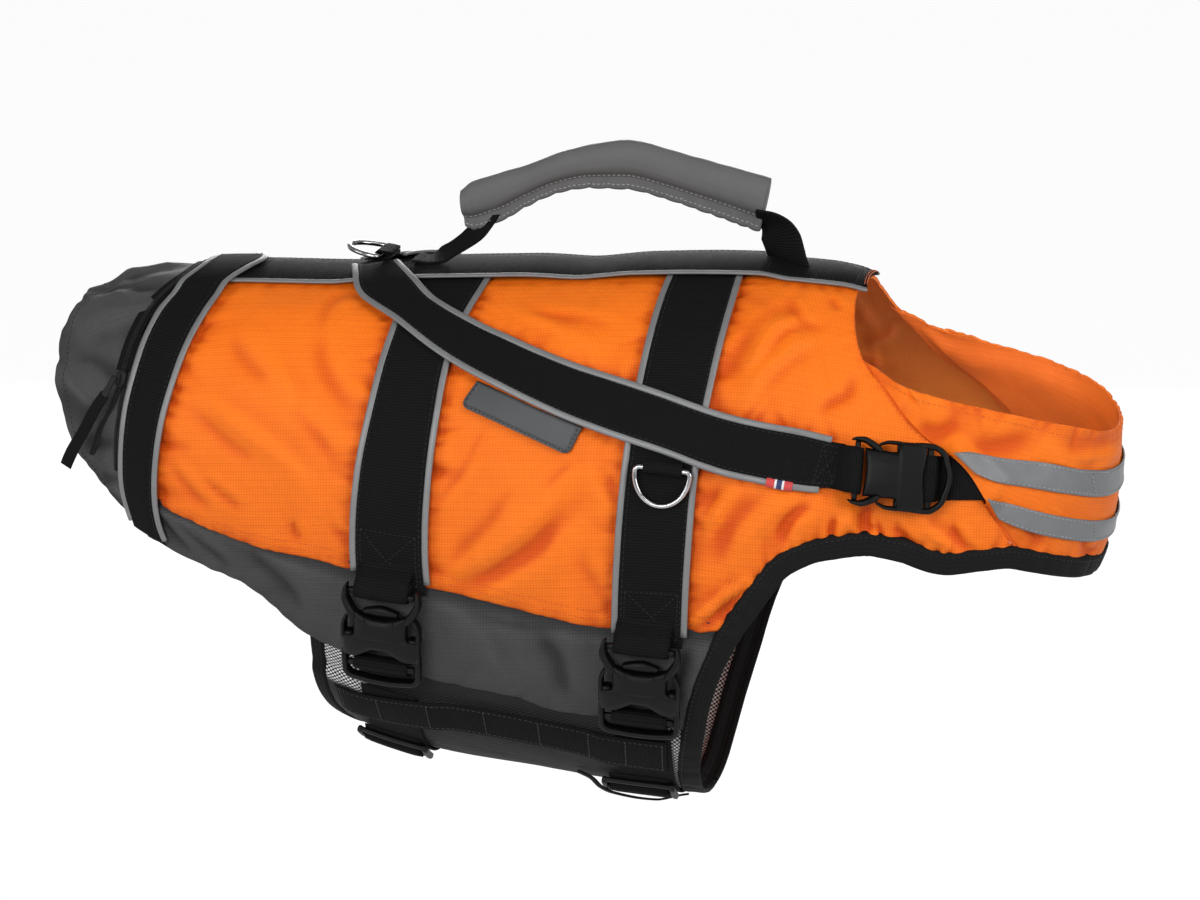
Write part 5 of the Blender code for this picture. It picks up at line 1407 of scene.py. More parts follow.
def chest_collar():
    """The orange piece round the chest, its inner layer, and the stitching along its rim."""
    ribs = np.array(COLLAR_RIBS)
    rim, hem = (Line(round_front([tuple(r) for r in ribs[:, k:k + 2]]), even=True) for k in (0, 2))
    shares = [share for share, _, _ in COLLAR_SEAM]
    start = Line([(s, -a) for _, s, a in COLLAR_SEAM], knots=shares)
    end = Line([(s, a - 360) for _, s, a in COLLAR_SEAM], knots=shares)
    place = patch(rim, hem, start, end, reach=0.35)
    marks = creased(CHEST_CREASES)
    marks.append(puckers(rim, 101, 9.5, 1.4, 9.0, 0.1, 0.04, 0.96))
    marks.append(puckers(hem, 102, 11.0, 1.0, 8.0, 0.1))
    marks.append(puckers(start, 103, 9.0, 0.9, 8.0, 0.5))
    marks.append(puckers(end, 104, 9.0, 0.9, 8.0, 0.5))
    taped = [[np.array(round_front(edge)) for edge in tape] for tape in (TAPE_UPPER, TAPE_LOWER)]

    def flat_under_tapes(station, angle):
        total = np.zeros(station.shape)
        for high, low in taped:
            top, bottom = (np.interp(-angle, -edge[:, 1], edge[:, 0]) for edge in (high, low))
            total = np.maximum(total, hump(station, bottom, top, 0.05))
        return total

    def tucked(u, v):
        """How far from its two seams a place lies, in shares of the run, and how free the seam is there."""
        inside = np.minimum(u, 1 - u)
        _, around = apart(place(np.where(u < 0.5, 0.0, 1.0), v))
        return inside, hump(from_spine(around), 86.0, 101.0, 1.5)

    def seamed(u, v):
        """The collar's places, with a margin under the side panels where it is sewn to them."""
        u, v = spread(u, v)
        inside, free = tucked(u, v)
        moved = np.maximum(-inside, 0) * (free - 2.8 * ramp(v, 0.55, 0.80) * (1 - free))
        return place(np.where(u < 0.5, u + moved, u - moved), v)

    def outer(station, angle, u, v):
        total = marked(marks, station, angle) + 0.5 * crumple(form(station, angle), 9, 34)
        total = np.where(total > 0.2, 0.2 + (total - 0.2) * (1 - flat_under_tapes(station, angle)), total)
        inside, free = tucked(u, v)
        under = (1 - ramp(inside, 0.0015, 0.0065)) * (1 - free)
        return (total + slot_rise(station, angle)) * (1 - under) - 1.4 * under - 0.35

    def facing_outer(station, angle, u, v):
        beside = 1 - ramp(np.minimum(u, 1 - u), 0.0, 0.05)
        deep = 5.0 * ramp(v, 0.02, 0.20) * (1 - ramp(v, 0.84, 0.97)) * (1 - 0.65 * beside) + 1.2 * beside
        folds = 0.6 * np.minimum(marked(marks, station, angle), 1.0)
        folds = folds + (0.8 * crumple(form(station, angle), 12, 30) - 0.7)
        return -2.2 - deep + folds * ramp(v, 0.0, 0.1)

    margin = edged(8, 5, 0.35) * SEAM_MARGIN
    rows = np.concatenate([margin - SEAM_MARGIN, np.linspace(0.0008, 0.9992, 280), 1 + margin])
    made = walled("chest_collar_cloth", ["orange", "orange_inside_painted_light"], ["chest_collar"], "orange_ripstop",
                  seamed, rows, edged(54, 130), outer, thick(1.7), relief=True, inner_slot=1)
    # The facing also takes the inside orange, brightened as painted light.
    made = walled("chest_collar_facing", ["orange_inside_painted_light"], (), "orange_ripstop", place,
                  np.linspace(-0.032, 1.032, 132), edged(28, 120), facing_outer, thick(0.9), relief=True)
    thread = Build()
    for over, way in ((0.05, 1), (-1.75, -1)):
        t = np.linspace(0.01, 0.99, 700)
        station, angle = apart(place(t, 0 * t + 0.085))
        out = outer(station, angle, t, 0.085) + over
        thread.stitches(lifted(station, angle, out), way * normals(station, angle), "collar")
    thread.piece("chest_collar_stitching", ["orange_thread"], slot="orange_ripstop")


def belly_lift(station, angle):
    return -0.5 - 2.7 * (1 - ramp(from_spine(angle), 126.5, 131))


def belly_panel():
    """The black panel under the belly, and the binding of its rear edge."""
    rear, front = Line(round_front(BELLY_REAR)), Line(round_front(BELLY_FRONT))
    marks = [puckers(rear, 111, 12.0, 0.7, 8.0, 0.2), puckers(front, 112, 12.0, 0.7, 8.0, 0.2)]
    marks += [crease(places, width, depth) for width, depth, places in BELLY_CREASES]

    def outer(station, angle, u, v):
        return belly_lift(station, angle) + np.minimum(marked(marks, station, angle), 0.3)

    def net(station, angle, u, v):
        rear_corner = (1 - ramp(station, 4.62, 4.70)) * (1 - ramp(from_spine(angle), 131, 132.5))
        return np.maximum(rear_corner, ramp(station, 7.02, 7.08))

    made = walled("belly_panel_cloth", ["belly"], ["belly_panel"], "belly_twill",
                  between(rear, front), edged(134, 330), edged(66, 220), outer, thick(1.8), net=net)

    def bound(station, angle, u, v):
        return belly_lift(station, angle) + 0.75 - 0.5 * (2 * v - 1) ** 4

    walled("belly_binding_elastic", ["elastic"], ["belly_binding"], "binding_elastic",
           strip(rear, BELLY_BINDING, -1, 0.0), edged(160, 330), edged(7, 10), bound, thick(3.0))


# ---------------------------------------------------------------- straps, pipings and tapes


def over_straps(station, angle):
    """How far a band stands off where it crosses a girth strap."""
    limit = 1 - ramp(np.abs(angle), 100, 110)
    return 2.7 * limit * sum(hump(station, *span, 0.3) for span in STRAP_STEPS)


def diagonal_lift(station, angle):
    low = LAY_GAP + 0.3 + over_straps(station, angle) + 0.5 * ramp(station, 8.2, 8.8)
    over_spine = LAY_GAP + over_straps(station, angle) + 3.4
    return low + (over_spine - low) * (1 - ramp(np.abs(angle), 17, 25))


def spine_lift(station, angle):
    return LAY_GAP + 0.2 + 2.7 * sum(hump(station, *span, 0.55) for span in STRAP_STEPS)


def rear_band_lift(station, angle):
    return LAY_GAP + 3.0 * (1 - ramp(np.abs(angle), 19, 27))


def flat_lift(station, angle):
    return LAY_GAP + 0 * station


def wavy(t, seed, waves=9):
    """A small uneven run of waves along t from 0 to 1, about -1 to 1."""
    random = np.random.default_rng(seed)
    total = 0 * np.asarray(t, float)
    for k in range(1, waves + 1):
        total = total + random.uniform(0.3, 1.0) * np.sin(2 * math.pi * (k * t * 1.3 + random.uniform(0, 1)))
    return total / (0.6 * waves)


def sew(thread, place, corners, lift, kind, count):
    """Stitches on a patch, along straight runs between (u, v) corners, each read at count points."""
    for (u0, v0), (u1, v1) in zip(corners, corners[1:]):
        t = np.linspace(0, 1, count)
        station, angle = apart(place(u0 + (u1 - u0) * t, v0 + (v1 - v0) * t))
        height = lift(station, angle) if callable(lift) else lift + 0 * station
        thread.stitches(lifted(station, angle, height), normals(station, angle), kind)


def box_with_cross(thread, place, low_u, high_u, lift):
    """A sewn box across a band, from 0.1 to 0.9 of its width, with a cross in it."""
    a, b, c, d = ((u, v) for u, v in ((low_u, 0.1), (high_u, 0.1), (high_u, 0.9), (low_u, 0.9)))
    for run in ([a, b, c, d, a], [a, c], [d, b]):
        sew(thread, place, run, lift, "box", 50)


def piping(name, label, node, place, share, lift, run, seed):
    """A rounded reflective edging along one edge of a band, as a piece."""
    u = np.linspace(*run, 200)
    station, angle = apart(inset(place, PIPING_WIDTH / 2)(u, 0 * u + share))
    height = lift(station, angle) + 1.0 + 0.10 * wavy(u, seed)
    swell = 1 + 0.05 * wavy(u, seed + 1, 24)
    build = Build()
    build.tube(lifted(station, angle, height), normals(station, angle), 2.15 * swell, 1.1 * swell, 12, 2.5)
    build.piece(f"{name}_piping_{label}_cloth", ["piping"], [node], slot="reflective_piping")


def webbing_band(name, place, lift, rows, run, pipings, seed):
    """A band of webbing with its pipings and edge stitching; gives back its body."""
    body = inset(place, BODY_INSET)

    def outer(station, angle, u, v):
        return lift(station, angle) + WEBBING + 0.12 * wavy(u, seed) * np.sin(math.pi * v)

    def on_top(station, angle, u, v):
        return lift(station, angle) + WEBBING

    made = walled(f"{name}_webbing", ["webbing"], [name], "black_webbing",
                  body, rows, edged(9, 30, 0.35), outer, thick(WEBBING))
    for share, (label, node) in enumerate(pipings):
        piping(name, label, node, place, share, lift, run, seed + 3 * share)
    thread = Build()
    for share in (0, 1):
        sew_row(thread, inset(place, STITCH_INSET), (*run, 400), share, on_top, 0.02, "band")
    return made, body, thread


def back_band(name, edges, lift, seed, run=(0.01, 0.99)):
    """A band over the back, with a piping on its rear and its front edge."""
    pipings = [(label, f"{name}_piping_{label}") for label in ("rear", "front")]
    return webbing_band(name, between(*over_back(edges)), lift, edged(190, 480), run, pipings, seed)


def back_bands():
    made, _, thread = back_band("rear_band", REAR_BAND_EDGES, rear_band_lift, 11)
    thread.piece("rear_band_stitching", ["black_thread"], slot="black_webbing")
    for name, edges, seed, width in (("mid_strap", MID_STRAP_EDGES, 21, 0.0435),
                                     ("front_strap", FRONT_STRAP_EDGES, 31, 0.048)):
        made, body, thread = back_band(name, edges, flat_lift, seed, (0.012, 0.988))
        for low_u, high_u in ((0.008, 0.05), (0.95, 0.992)):
            box_with_cross(thread, body, low_u, high_u, LAY_GAP + WEBBING + 0.04)
        thread.piece(f"{name}_stitching", ["black_thread"], slot="black_webbing")


def spine_band():
    """The wide band along the spine, doubled and sewn down at its front end."""
    place = between(*(Line([(s, side * angle_of(s, half)) for s, half in SPINE_EDGES]) for side in (-1, 1)))

    def outer(station, angle, u, v):
        doubled = WEBBING * ramp(u, SPINE_TAB - 0.002, SPINE_TAB + 0.002)
        return spine_lift(station, angle) + WEBBING + doubled + 0.15 * wavy(u, 5)

    def inner(station, angle, u, v, out):
        return spine_lift(station, angle)

    rows = np.unique(np.concatenate([edged(200, 430), SPINE_TAB + np.array([-0.003, 0, 0.003])]))
    made = walled("spine_band_webbing", ["webbing"], ["spine_band"], "black_webbing",
                  inset(place, BODY_INSET), rows, edged(14, 70, 0.35), outer, inner)
    for share, label in enumerate(("right", "left")):
        piping("spine", label, f"spine_piping_{label}", place, share, spine_lift, (0.002, 0.985), 41 + share)
    stitched = inset(place, STITCH_INSET)
    thread = Build()
    for share in (0, 1):
        sew(thread, stitched, [(0.005, share), (SPINE_TAB, share)],
            lambda s, a: spine_lift(s, a) + WEBBING + 0.14, "band", 400)
    thread.piece("spine_band_stitching", ["black_thread"], slot="black_webbing")
    tab = Build()
    first, last = SPINE_TAB + 0.006, 0.985
    for start, end, count in (((first, 0.02), (first, 0.98), 60), ((last, 0.02), (last, 0.98), 60),
                              ((first, 0.02), (last, 0.02), 40)):
        sew(tab, stitched, [start, end], lambda s, a: spine_lift(s, a) + 2 * WEBBING + 0.14, "tab", count)
    tab.piece("spine_tab_stitching", ["orange_thread"], slot="black_webbing")


def diagonal_strap(name, side):
    place = side_band(DIAGONAL_LOW, DIAGONAL_HIGH, side)
    rows = 0.012 + 0.988 * edged(210, 400)
    pipings = [(label, f"diagonal_piping_{label}_{name}") for label in ("low", "high")]
    made, body, thread = webbing_band(f"diagonal_strap_{name}", place, diagonal_lift, rows,
                                      (0.014, DIAGONAL_BARE), pipings, 50 + side)

    def on_top(station, angle):
        return diagonal_lift(station, angle) + WEBBING + 0.06

    box_with_cross(thread, body, 0.935, 0.985, on_top)
    thread.piece(f"diagonal_strap_{name}_stitching", ["black_thread"], slot="black_webbing")


def tape_lift(station, angle):
    """How far a reflective tape stands off the collar's skin; a little more near the side panels."""
    return 1.6 + 0.5 * (1 - ramp(station, 11.6, 11.9)) + slot_rise(station, angle)


def sew_edges(thread, place, lift, kind, count):
    for v in (0.10, 0.90):
        sew(thread, place, [(0.01, v), (0.99, v)], lift, kind, count)


def chest_tape(name, edges, seed):
    place = between(*(Line(round_front(rows)) for rows in edges))

    def outer(station, angle, u, v):
        waves = 0.35 * wavy(u, seed) + 0.25 * wavy(u + 0.1 * v, seed + 1, 17)
        return tape_lift(station, angle) + waves

    def on_top(station, angle):
        return tape_lift(station, angle) + 0.15

    made = walled(f"{name}_cloth", ["tape"], [name], "reflective_tape",
                  place, edged(180, 420), edged(7, 20, 0.3), outer, thick(0.8))
    thread = Build()
    sew_edges(thread, place, on_top, "tape", 400)
    for u in (0.325, 0.675):                        # a zigzag bar tack across the tape
        steps = [(u + (0.004 if k % 2 else -0.004), 0.08 + 0.084 * k) for k in range(11)]
        sew(thread, place, steps, on_top, "bar tack", 8)
    thread.piece(f"{name}_stitching", ["grey_thread"], slot="reflective_tape")


def chest_strap():
    """The strap in front of the chest, which goes in under the collar at both its ends."""
    middle = Line(round_front(CHEST_STRAP))

    def place(u, v):
        u, v = spread(u, v)
        return beside(middle, u, 0.01, (2 * v - 1) * (CHEST_STRAP_WIDTH / 2))

    def outer(station, angle, u, v):
        under = slot_rise(station, angle) - CLOTH_WALL - 0.7 - 1.9 * ramp(station, 11.47, 11.60)
        on_panel = 12.0 * (1 - ramp(station, 11.36, 11.46))
        return np.minimum(LAY_GAP + WEBBING + 0.35, under + on_panel)

    made = walled("chest_strap_webbing", ["webbing"], ["chest_strap"], "black_webbing",
                  place, edged(200, 400), edged(8, 27, 0.35), outer, thick(WEBBING))


def leg_binding(name, side):
    place = strip(side_line(LEG_EDGE, side), BINDING_WIDTH + 3.5, -side, -3.2)
    marks = [puckers(column(place, 0.45), 120 + side, 12.0, 1.0, 14.0, 0.0)]

    def outer(station, angle, u, v):
        lap = 1 - ramp(v, 0.03, 0.13)
        return 1.2 - 0.9 * v * v + np.maximum(marked(marks, station, angle), -1.3) - 2.6 * lap

    def inner(station, angle, u, v, out):
        return np.minimum(out - 1.4, -2.8 - 3.4 * (1 - ramp(v, 0.25, 0.6)))

    made = walled(f"leg_binding_{name}_elastic", ["elastic"], [f"leg_binding_{name}"], "binding_elastic",
                  place, edged(300, 560), edged(10, 13, 0.5), outer, inner)
    thread = Build()
    sew_row(thread, place, (0.005, 0.995, 700), 0.24, outer, 0.05, "binding")
    thread.piece(f"leg_binding_{name}_stitching", ["black_thread"], slot="binding_elastic")


BELLY_STRAP_HALF, BELLY_STRAP_END = 19.0, 126.6      # half width in mm; angle of its two ends


def belly_strap(name, middle_station):
    def place(u, v):
        u, v = spread(u, v)
        angle = -BELLY_STRAP_END - (360 - 2 * BELLY_STRAP_END) * u
        forward = np.broadcast_to(np.array([1.0, 0.0, 0.0]), (*u.shape, 3))
        station, _, _ = glide(middle_station + 0 * u, angle, forward, (2 * v - 1) * BELLY_STRAP_HALF)
        return np.stack([station, angle], axis=-1)

    def outer(station, angle, u, v):
        return LAY_GAP + WEBBING + 0.15 * wavy(u, int(middle_station))

    made = walled(f"{name}_webbing", ["webbing"], [name], "black_webbing",
                  place, edged(110, 220), edged(10, 38, 0.35), outer, thick(WEBBING))


def ladder_lift(station, angle):
    return LAY_GAP + 2.0 * (hump(station, 4.56, 5.22, 0.18) + hump(station, 6.62, 7.32, 0.18))


def ladder(name, side):
    place = side_band(LADDER_HIGH, LADDER_LOW, side)

    def outer(station, angle, u, v):
        return ladder_lift(station, angle) + WEBBING

    def on_top(station, angle):
        return ladder_lift(station, angle) + WEBBING + 0.03

    made = walled(f"ladder_{name}_webbing", ["webbing"], [f"ladder_{name}"], "black_webbing",
                  place, edged(120, 200), edged(7, 22, 0.35), outer, thick(WEBBING))
    thread = Build()
    sew_edges(thread, place, on_top, "ladder", 200)
    for u in (0.015, 0.14, 0.29, 0.44, 0.59, 0.74, 0.86, 0.985):
        sew(thread, place, [(u, 0.10), (u, 0.90)], on_top, "rung", 30)
    thread.piece(f"ladder_{name}_stitching", ["dark_thread"], slot="black_webbing")


LABEL_WIDTH, LABEL_HEIGHT, LABEL_CORNER = 66.0, 17.0, 4.5
# How high the patch's edge lies, its face over that and its frame over the face; its thread over the form.
LABEL_GROUND, LABEL_FACE, LABEL_FRAME, LABEL_STITCHING = 0.3, 2.35, 0.55, 3.22


def label_patch():
    bare = side_band(LABEL_HIGH, LABEL_LOW, -1)

    def place(u, v):
        from_low = np.maximum(LABEL_CORNER - (1 - np.asarray(v, float)) * LABEL_HEIGHT, 0)
        round_in = np.sqrt(np.maximum(LABEL_CORNER ** 2 - from_low ** 2, 0))
        cut = (LABEL_CORNER - round_in) / LABEL_WIDTH
        return bare(cut + (1 - 2 * cut) * np.asarray(u, float), v)

    def outer(station, angle, u, v):
        frame = np.maximum(1 - hump(u, 0.045, 0.955, 0.010), ramp(v, 0.86, 0.90))
        return (LABEL_FACE + LABEL_FRAME * frame) * ramp(v, -0.02, 0.06) + LABEL_GROUND

    def inner(station, angle, u, v, out):
        return np.minimum(0.9, out - 0.4)

    rows = np.unique(np.concatenate([edged(40, 65), np.linspace(0.03, 0.07, 7), np.linspace(0.93, 0.97, 7)]))
    columns = np.unique(np.concatenate([edged(16, 17), np.linspace(0.84, 0.90, 6),
                                        1 - LABEL_CORNER / LABEL_HEIGHT * np.linspace(0, 1, 14) ** 2]))
    walled("label_patch_rubber", ["rubber"], ["label_patch"], "patch_rubber",
           place, rows, columns, outer, inner)
    thread = Build()
    box = [(0.025, 0.12), (0.025, 0.93), (0.975, 0.93), (0.975, 0.12)]
    sew(thread, place, box, LABEL_STITCHING, "label", 60)
    thread.piece("label_patch_stitching", ["black_thread"], slot="patch_rubber")


TAG_OUTSIDE, TAG_INSIDE = (3.0, 1.75), (2.5, 1.35)   # the fold's half width and height
TAG_FOLD = (-42, 222)                                # where the fold starts and ends, in degrees round it


def flag_tag():
    """A short woven tag, folded round the lower piping of the right diagonal strap."""
    edge = inset(side_band(DIAGONAL_LOW, DIAGONAL_HIGH, -1), PIPING_WIDTH / 2)
    run = np.linspace(0, 1, 3000)
    stations, _ = apart(edge(run, 0 * run))
    first, last = (run[np.argmax(stations > limit)] for limit in TAG_STATIONS)
    u = first + (last - first) * edged(24, 17)
    station, angle = apart(edge(u, 0 * u))
    centre = lifted(station, angle, diagonal_lift(station, angle) + 1.0)
    normal = normals(station, angle)
    across = np.cross(normal, unit(np.gradient(centre, axis=0)))
    turns = np.radians(np.linspace(*TAG_FOLD, 34))
    outer, inner = (centre[:, None] + across[:, None] * (wide * np.cos(turns))[None, :, None]
                    + normal[:, None] * (high * np.sin(turns))[None, :, None]
                    for wide, high in (TAG_OUTSIDE, TAG_INSIDE))
    flat = grid_flat(outer)
    flat[..., 0] -= flat[..., 0].mean()
    build = Build()
    build.shell(outer, inner, flat)
    made = build.piece("flag_tag_cloth", ["flag"], ["flag_tag"], slot="flag_cloth")


# ---------------------------------------------------------------- hard pieces


def bent(station, angle, heading):
    """A map from sizes along, across and up at a place to points over the form."""
    def at(along, across, up):
        along, across, up = np.broadcast_arrays(*(np.asarray(x, float) for x in (along, across, up)))
        ways = np.broadcast_to(np.asarray(heading, float), (*along.shape, 3))
        s, a, ahead = glide(station + 0 * along, angle + 0 * along, ways, along, 3)
        s, a, _ = glide(s, a, np.cross(normals(s, a), ahead), across, 3)
        return form(s, a) + normals(s, a) * up[..., None]
    return at


def smooth(rows, count):
    """Rows of numbers, run through smoothly at even steps of the first one."""
    rows = np.array(rows, dtype=float)
    where = np.linspace(rows[0, 0], rows[-1, 0], count)
    where = np.unique(np.concatenate([where, rows[:, 0]]))
    k = np.clip(np.searchsorted(rows[:, 0], where, side="right") - 1, 0, len(rows) - 2)
    span = rows[k + 1, 0] - rows[k, 0]
    t = ((where - rows[k, 0]) / span)[:, None]
    steps = np.diff(rows, axis=0) / np.diff(rows[:, 0])[:, None]
    lean = np.zeros(rows.shape)
    lean[0], lean[-1] = steps[0], steps[-1]
    both, whole = steps[1:] * steps[:-1], steps[1:] + steps[:-1]
    lean[1:-1] = np.where(both > 0, 2 * both / np.where(np.abs(whole) < 1e-9, 1, whole), 0)
    made = hermite(rows[k], span[:, None] * lean[k], rows[k + 1], span[:, None] * lean[k + 1], t)
    made[:, 0] = where
    return made


def smooth_rows(rows, count):
    """The same for rows with no place of their own, at even steps from row to row."""
    return smooth([(k, *row) for k, row in enumerate(rows)], count)[:, 1:]


def level(start, end, across, half, bottom, top):
    """The two rows of a straight bar of one size."""
    return [(place, across, half, bottom, top) for place in (start, end)]


def bar(build, at, rows, count=30, sides=20, power=4.0, turned=False, ends=1.2, warp=None):
    """A rounded bar: each row is where along it, its centre across, half width, bottom and top.

    turned lets it run across instead; warp is a function of along and across that gives the along to use.
    """
    sizes = smooth(rows, count)
    first, last = sizes[0], sizes[-1]
    caps = []
    for end, sign in ((first, 1), (last, -1)):
        grown = []
        for share, inward in ((0.55, 0.0), (0.85, 0.3)):
            where, across, half, bottom, top = end
            middle = (bottom + top) / 2
            grown.append((where + sign * inward * min(ends, 0.3 * (last[0] - first[0])), across,
                          max(half - ends * (1 - share), 0.5 * half),
                          middle + (bottom - middle) * share, middle + (top - middle) * share))
        caps.append(grown)
    inner = sizes[(sizes[:, 0] > first[0] + ends * 0.7) & (sizes[:, 0] < last[0] - ends * 0.7)]
    sizes = np.array([*caps[0], *inner, *caps[1][::-1]])
    where, centre, half, bottom, top = (sizes[:, k:k + 1] for k in range(5))
    x, z = rounded_section(sides, power)
    along = where + 0 * x
    across = centre + half * x
    up = (bottom + top) / 2 + (top - bottom) / 2 * z
    if warp:
        along = warp(along, across)
    build.rings(at(across, along, up) if turned else at(along, across, up))


def ribbon(build, at, path, half, count=40):
    """Webbing that follows a path of (along, up), with straight edges a half width away."""
    path = np.array(path, dtype=float)
    run = run_lengths(path)
    fine = np.linspace(0, run[-1], count * 3)
    dense = np.stack([np.interp(fine, run, path[:, k]) for k in (0, 1)], axis=-1)
    for _ in range(6):
        dense[1:-1] = (dense[:-2] + dense[1:-1] * 2 + dense[2:]) / 4
    dense = np.concatenate([dense[::3], dense[-1:]])
    tangent = unit(np.gradient(dense, axis=0))
    side = np.stack([-tangent[:, 1], tangent[:, 0]], axis=-1) * WEBBING / 2
    across = np.linspace(-half, half, 9)
    edges = np.array([0.45, *([1.0] * 7), 0.45])
    skins = []
    for sign in (1, -1):
        rows = dense[:, None] + sign * side[:, None] * edges[None, :, None]
        skins.append(at(rows[..., 0], across[None, :] + 0 * rows[..., 0], rows[..., 1]))
    build.shell(*skins, grid_flat(skins[0]))


BUCKLE_LENGTH, BUCKLE_WIDTH = 67.0, 53.0       # the sizes that the numbers below are for
FRAME_END, FRAME_SIDE = 31.4, 24.6             # the arms' frame: its lower end and half width


def side_release_buckle(name, at, length, width, thickness, base, strap_half, end_round, fill=0.0):
    """A fastened side-release buckle, in the belly buckle's sizes, scaled; along runs down the strap.

    fill, from 0 to 1, is how far the body fills the room between the two bars.
    """
    long, wide = length / BUCKLE_LENGTH, width / BUCKLE_WIDTH
    low, top = base + 0.1, base + thickness - 0.3
    middle = (low + top) / 2

    def placed(along, across, up):
        return at(along * long, across * wide, up)

    def shaped(along, across):
        """The body's upper edge is scooped and its lower edge arched."""
        scoop = (5.5 - 3.5 * fill) * np.clip(1 - (across / 20.5) ** 2, 0, 1) * (1 - ramp(along, -19, -8))
        across_arch = np.cos(math.pi * np.clip(across / 38.0, -0.5, 0.5)) ** 2
        return along + scoop - (8.0 - 6.0 * fill) * across_arch * ramp(along, 2, 14)

    def part(rows, *grid, **options):
        """A bar of the buckle; its rows give bottom and top as sizes over low and over the top."""
        bar(build, placed, [(*row[:3], low + row[3], top + row[4]) for row in rows], *grid, **options)

    build = Build()
    part([(-19 - 6 * fill, 0, 20.6 - 2 * fill, 1.4, -1.6), (-16.5 - 5 * fill, 0, 19.4 - fill, 0.5, -0.8),
          (-12, 0, 18.2, 0, -0.2), (-5, 0, 17.8, 0, 0), (-1.6, 0, 18.4, 0, 0), (-0.2, 0, 25.4, 0, -0.5),
          (1.2, 0, 26.4, 0, -0.3), (8, 0, 26.5, 0, -0.5), (14 + 4 * fill, 0, 26.3, 0, -1.4)],
         52, 36, 3.0, warp=shaped)
    for side in (-1, 1):
        # The horn beside the body, the arm, its ledge, three grip ribs on its wide end, and a ridge.
        part([(-34.5, side * 23.0, 0.7, 3.4, -3.2), (-31, side * 24.2, 1.5, 2.2, -2.0),
              (-26, side * 24.3, 2.3, 1.2, -1.0), (-21, side * 22.4, 3.0, 0.4, -0.4),
              (-16.5, side * 19.6, 3.3, 0, -0.5), (-12.5, side * 17.4, 2.4, 0.6, -1.4)], 26, 16, 2.6)
        part([(-16.5, side * 20.5, 1.0, 1.2, -3.2), (-12.5, side * 23.4, 1.3, 0.8, -2.8),
              (-7, side * 25.2, 1.5, 0.6, -2.6), (-1, side * 25.2, 1.6, 0.6, -2.2),
              (2, side * 24.8, 1.6, 0.8, -2.4)], 22, 14, 2.8)
        part([(-2.6, side * 21.8, 3.4, 0.5, -3.4), (0.4, side * 21.8, 3.6, 0.5, -2.8)], 6, 16, 3.0)
        for k in range(3):
            where = 3.0 + 2.2 * k
            rib = level(where - 0.4, where + 0.4, side * 25.0, 1.7, middle - 1.6, middle + 2.4)
            bar(build, placed, rib, 3, 12, 3.0, ends=0.3)
        ridge = [(-14, side * 9.5, 0.5, top - 1.4, top - 0.28), (-8, side * 9.2, 0.6, top - 1.4, top - 0.10),
                 (-1, side * 9.2, 0.5, top - 1.4, top - 0.22)]
        bar(build, placed, ridge, 16, 12, 2.4, ends=0.4)
    # The tongue in the scooped edge, the bars that hold the webbing, and the arms' frame.
    part([(-12, -17.5, 1.6, 2.0, -3.6), (0, -18.8, 3.2, 2.0, -2.4), (12, -17.5, 1.6, 2.0, -3.6)],
         22, 16, 2.4, turned=True)
    for across, half, rise in ((-29.8, 2.0, 2.2), (20.5, 2.2, 1.8)):
        rows = level(-23, 23, across, half, middle - 2.2, middle + rise)
        bar(build, placed, rows, 16, 14, 2.6, turned=True)
    straight = FRAME_SIDE - end_round
    bow = 0.22 * end_round
    frame_side = [(10.0, FRAME_SIDE), (18.0, 24.8), (FRAME_END - end_round, FRAME_SIDE)]
    for t in np.linspace(0, math.pi / 2, 10)[1:]:
        x, y = end_round * math.sin(t), end_round * math.cos(t)
        frame_side.append((FRAME_END - end_round + x, straight + y))
    for y in np.linspace(straight, 0, 6)[1:]:
        frame_side.append((FRAME_END + bow * (1 - (y / straight) ** 2), y))
    x, y = np.array(frame_side + [(x, -y) for x, y in frame_side[-2::-1]]).T
    centre, above = (placed(x, y, 0 * x + height) for height in (middle - 1.0, middle))
    build.tube(centre, above - centre, 1.9, (top - low) / 2 - 2.2, 18, 3.4)
    build.piece(f"{name}_plastic", ["plastic"], [name], slot="black_plastic")
    straps = Build()
    upper = [(-47, 1.4), (-43, 2.4), (-38, middle - 0.6), (-34, middle + 2.4), (-31, middle + 3.5),
             (-28, middle + 3.0), (-26, middle + 0.6), (-26.4, middle - 2.0), (-30, middle - 3.8),
             (-36, base - 1.4)]
    lower = [(40, base - 2.4), (34, base - 1.9), (28, base - 1.0), (25, middle - 1.0), (23.6, middle + 1.8),
             (20.5, middle + 3.4), (17.2, middle + 1.8), (16.4, middle - 1.4), (17.5, base - 0.6),
             (21.0, base - 1.4)]
    for path in (upper, lower):
        ribbon(straps, at, [(x * long, up) for x, up in path], strap_half, 70)
    straps.piece(f"{name}_webbing", ["webbing"], slot="black_webbing")


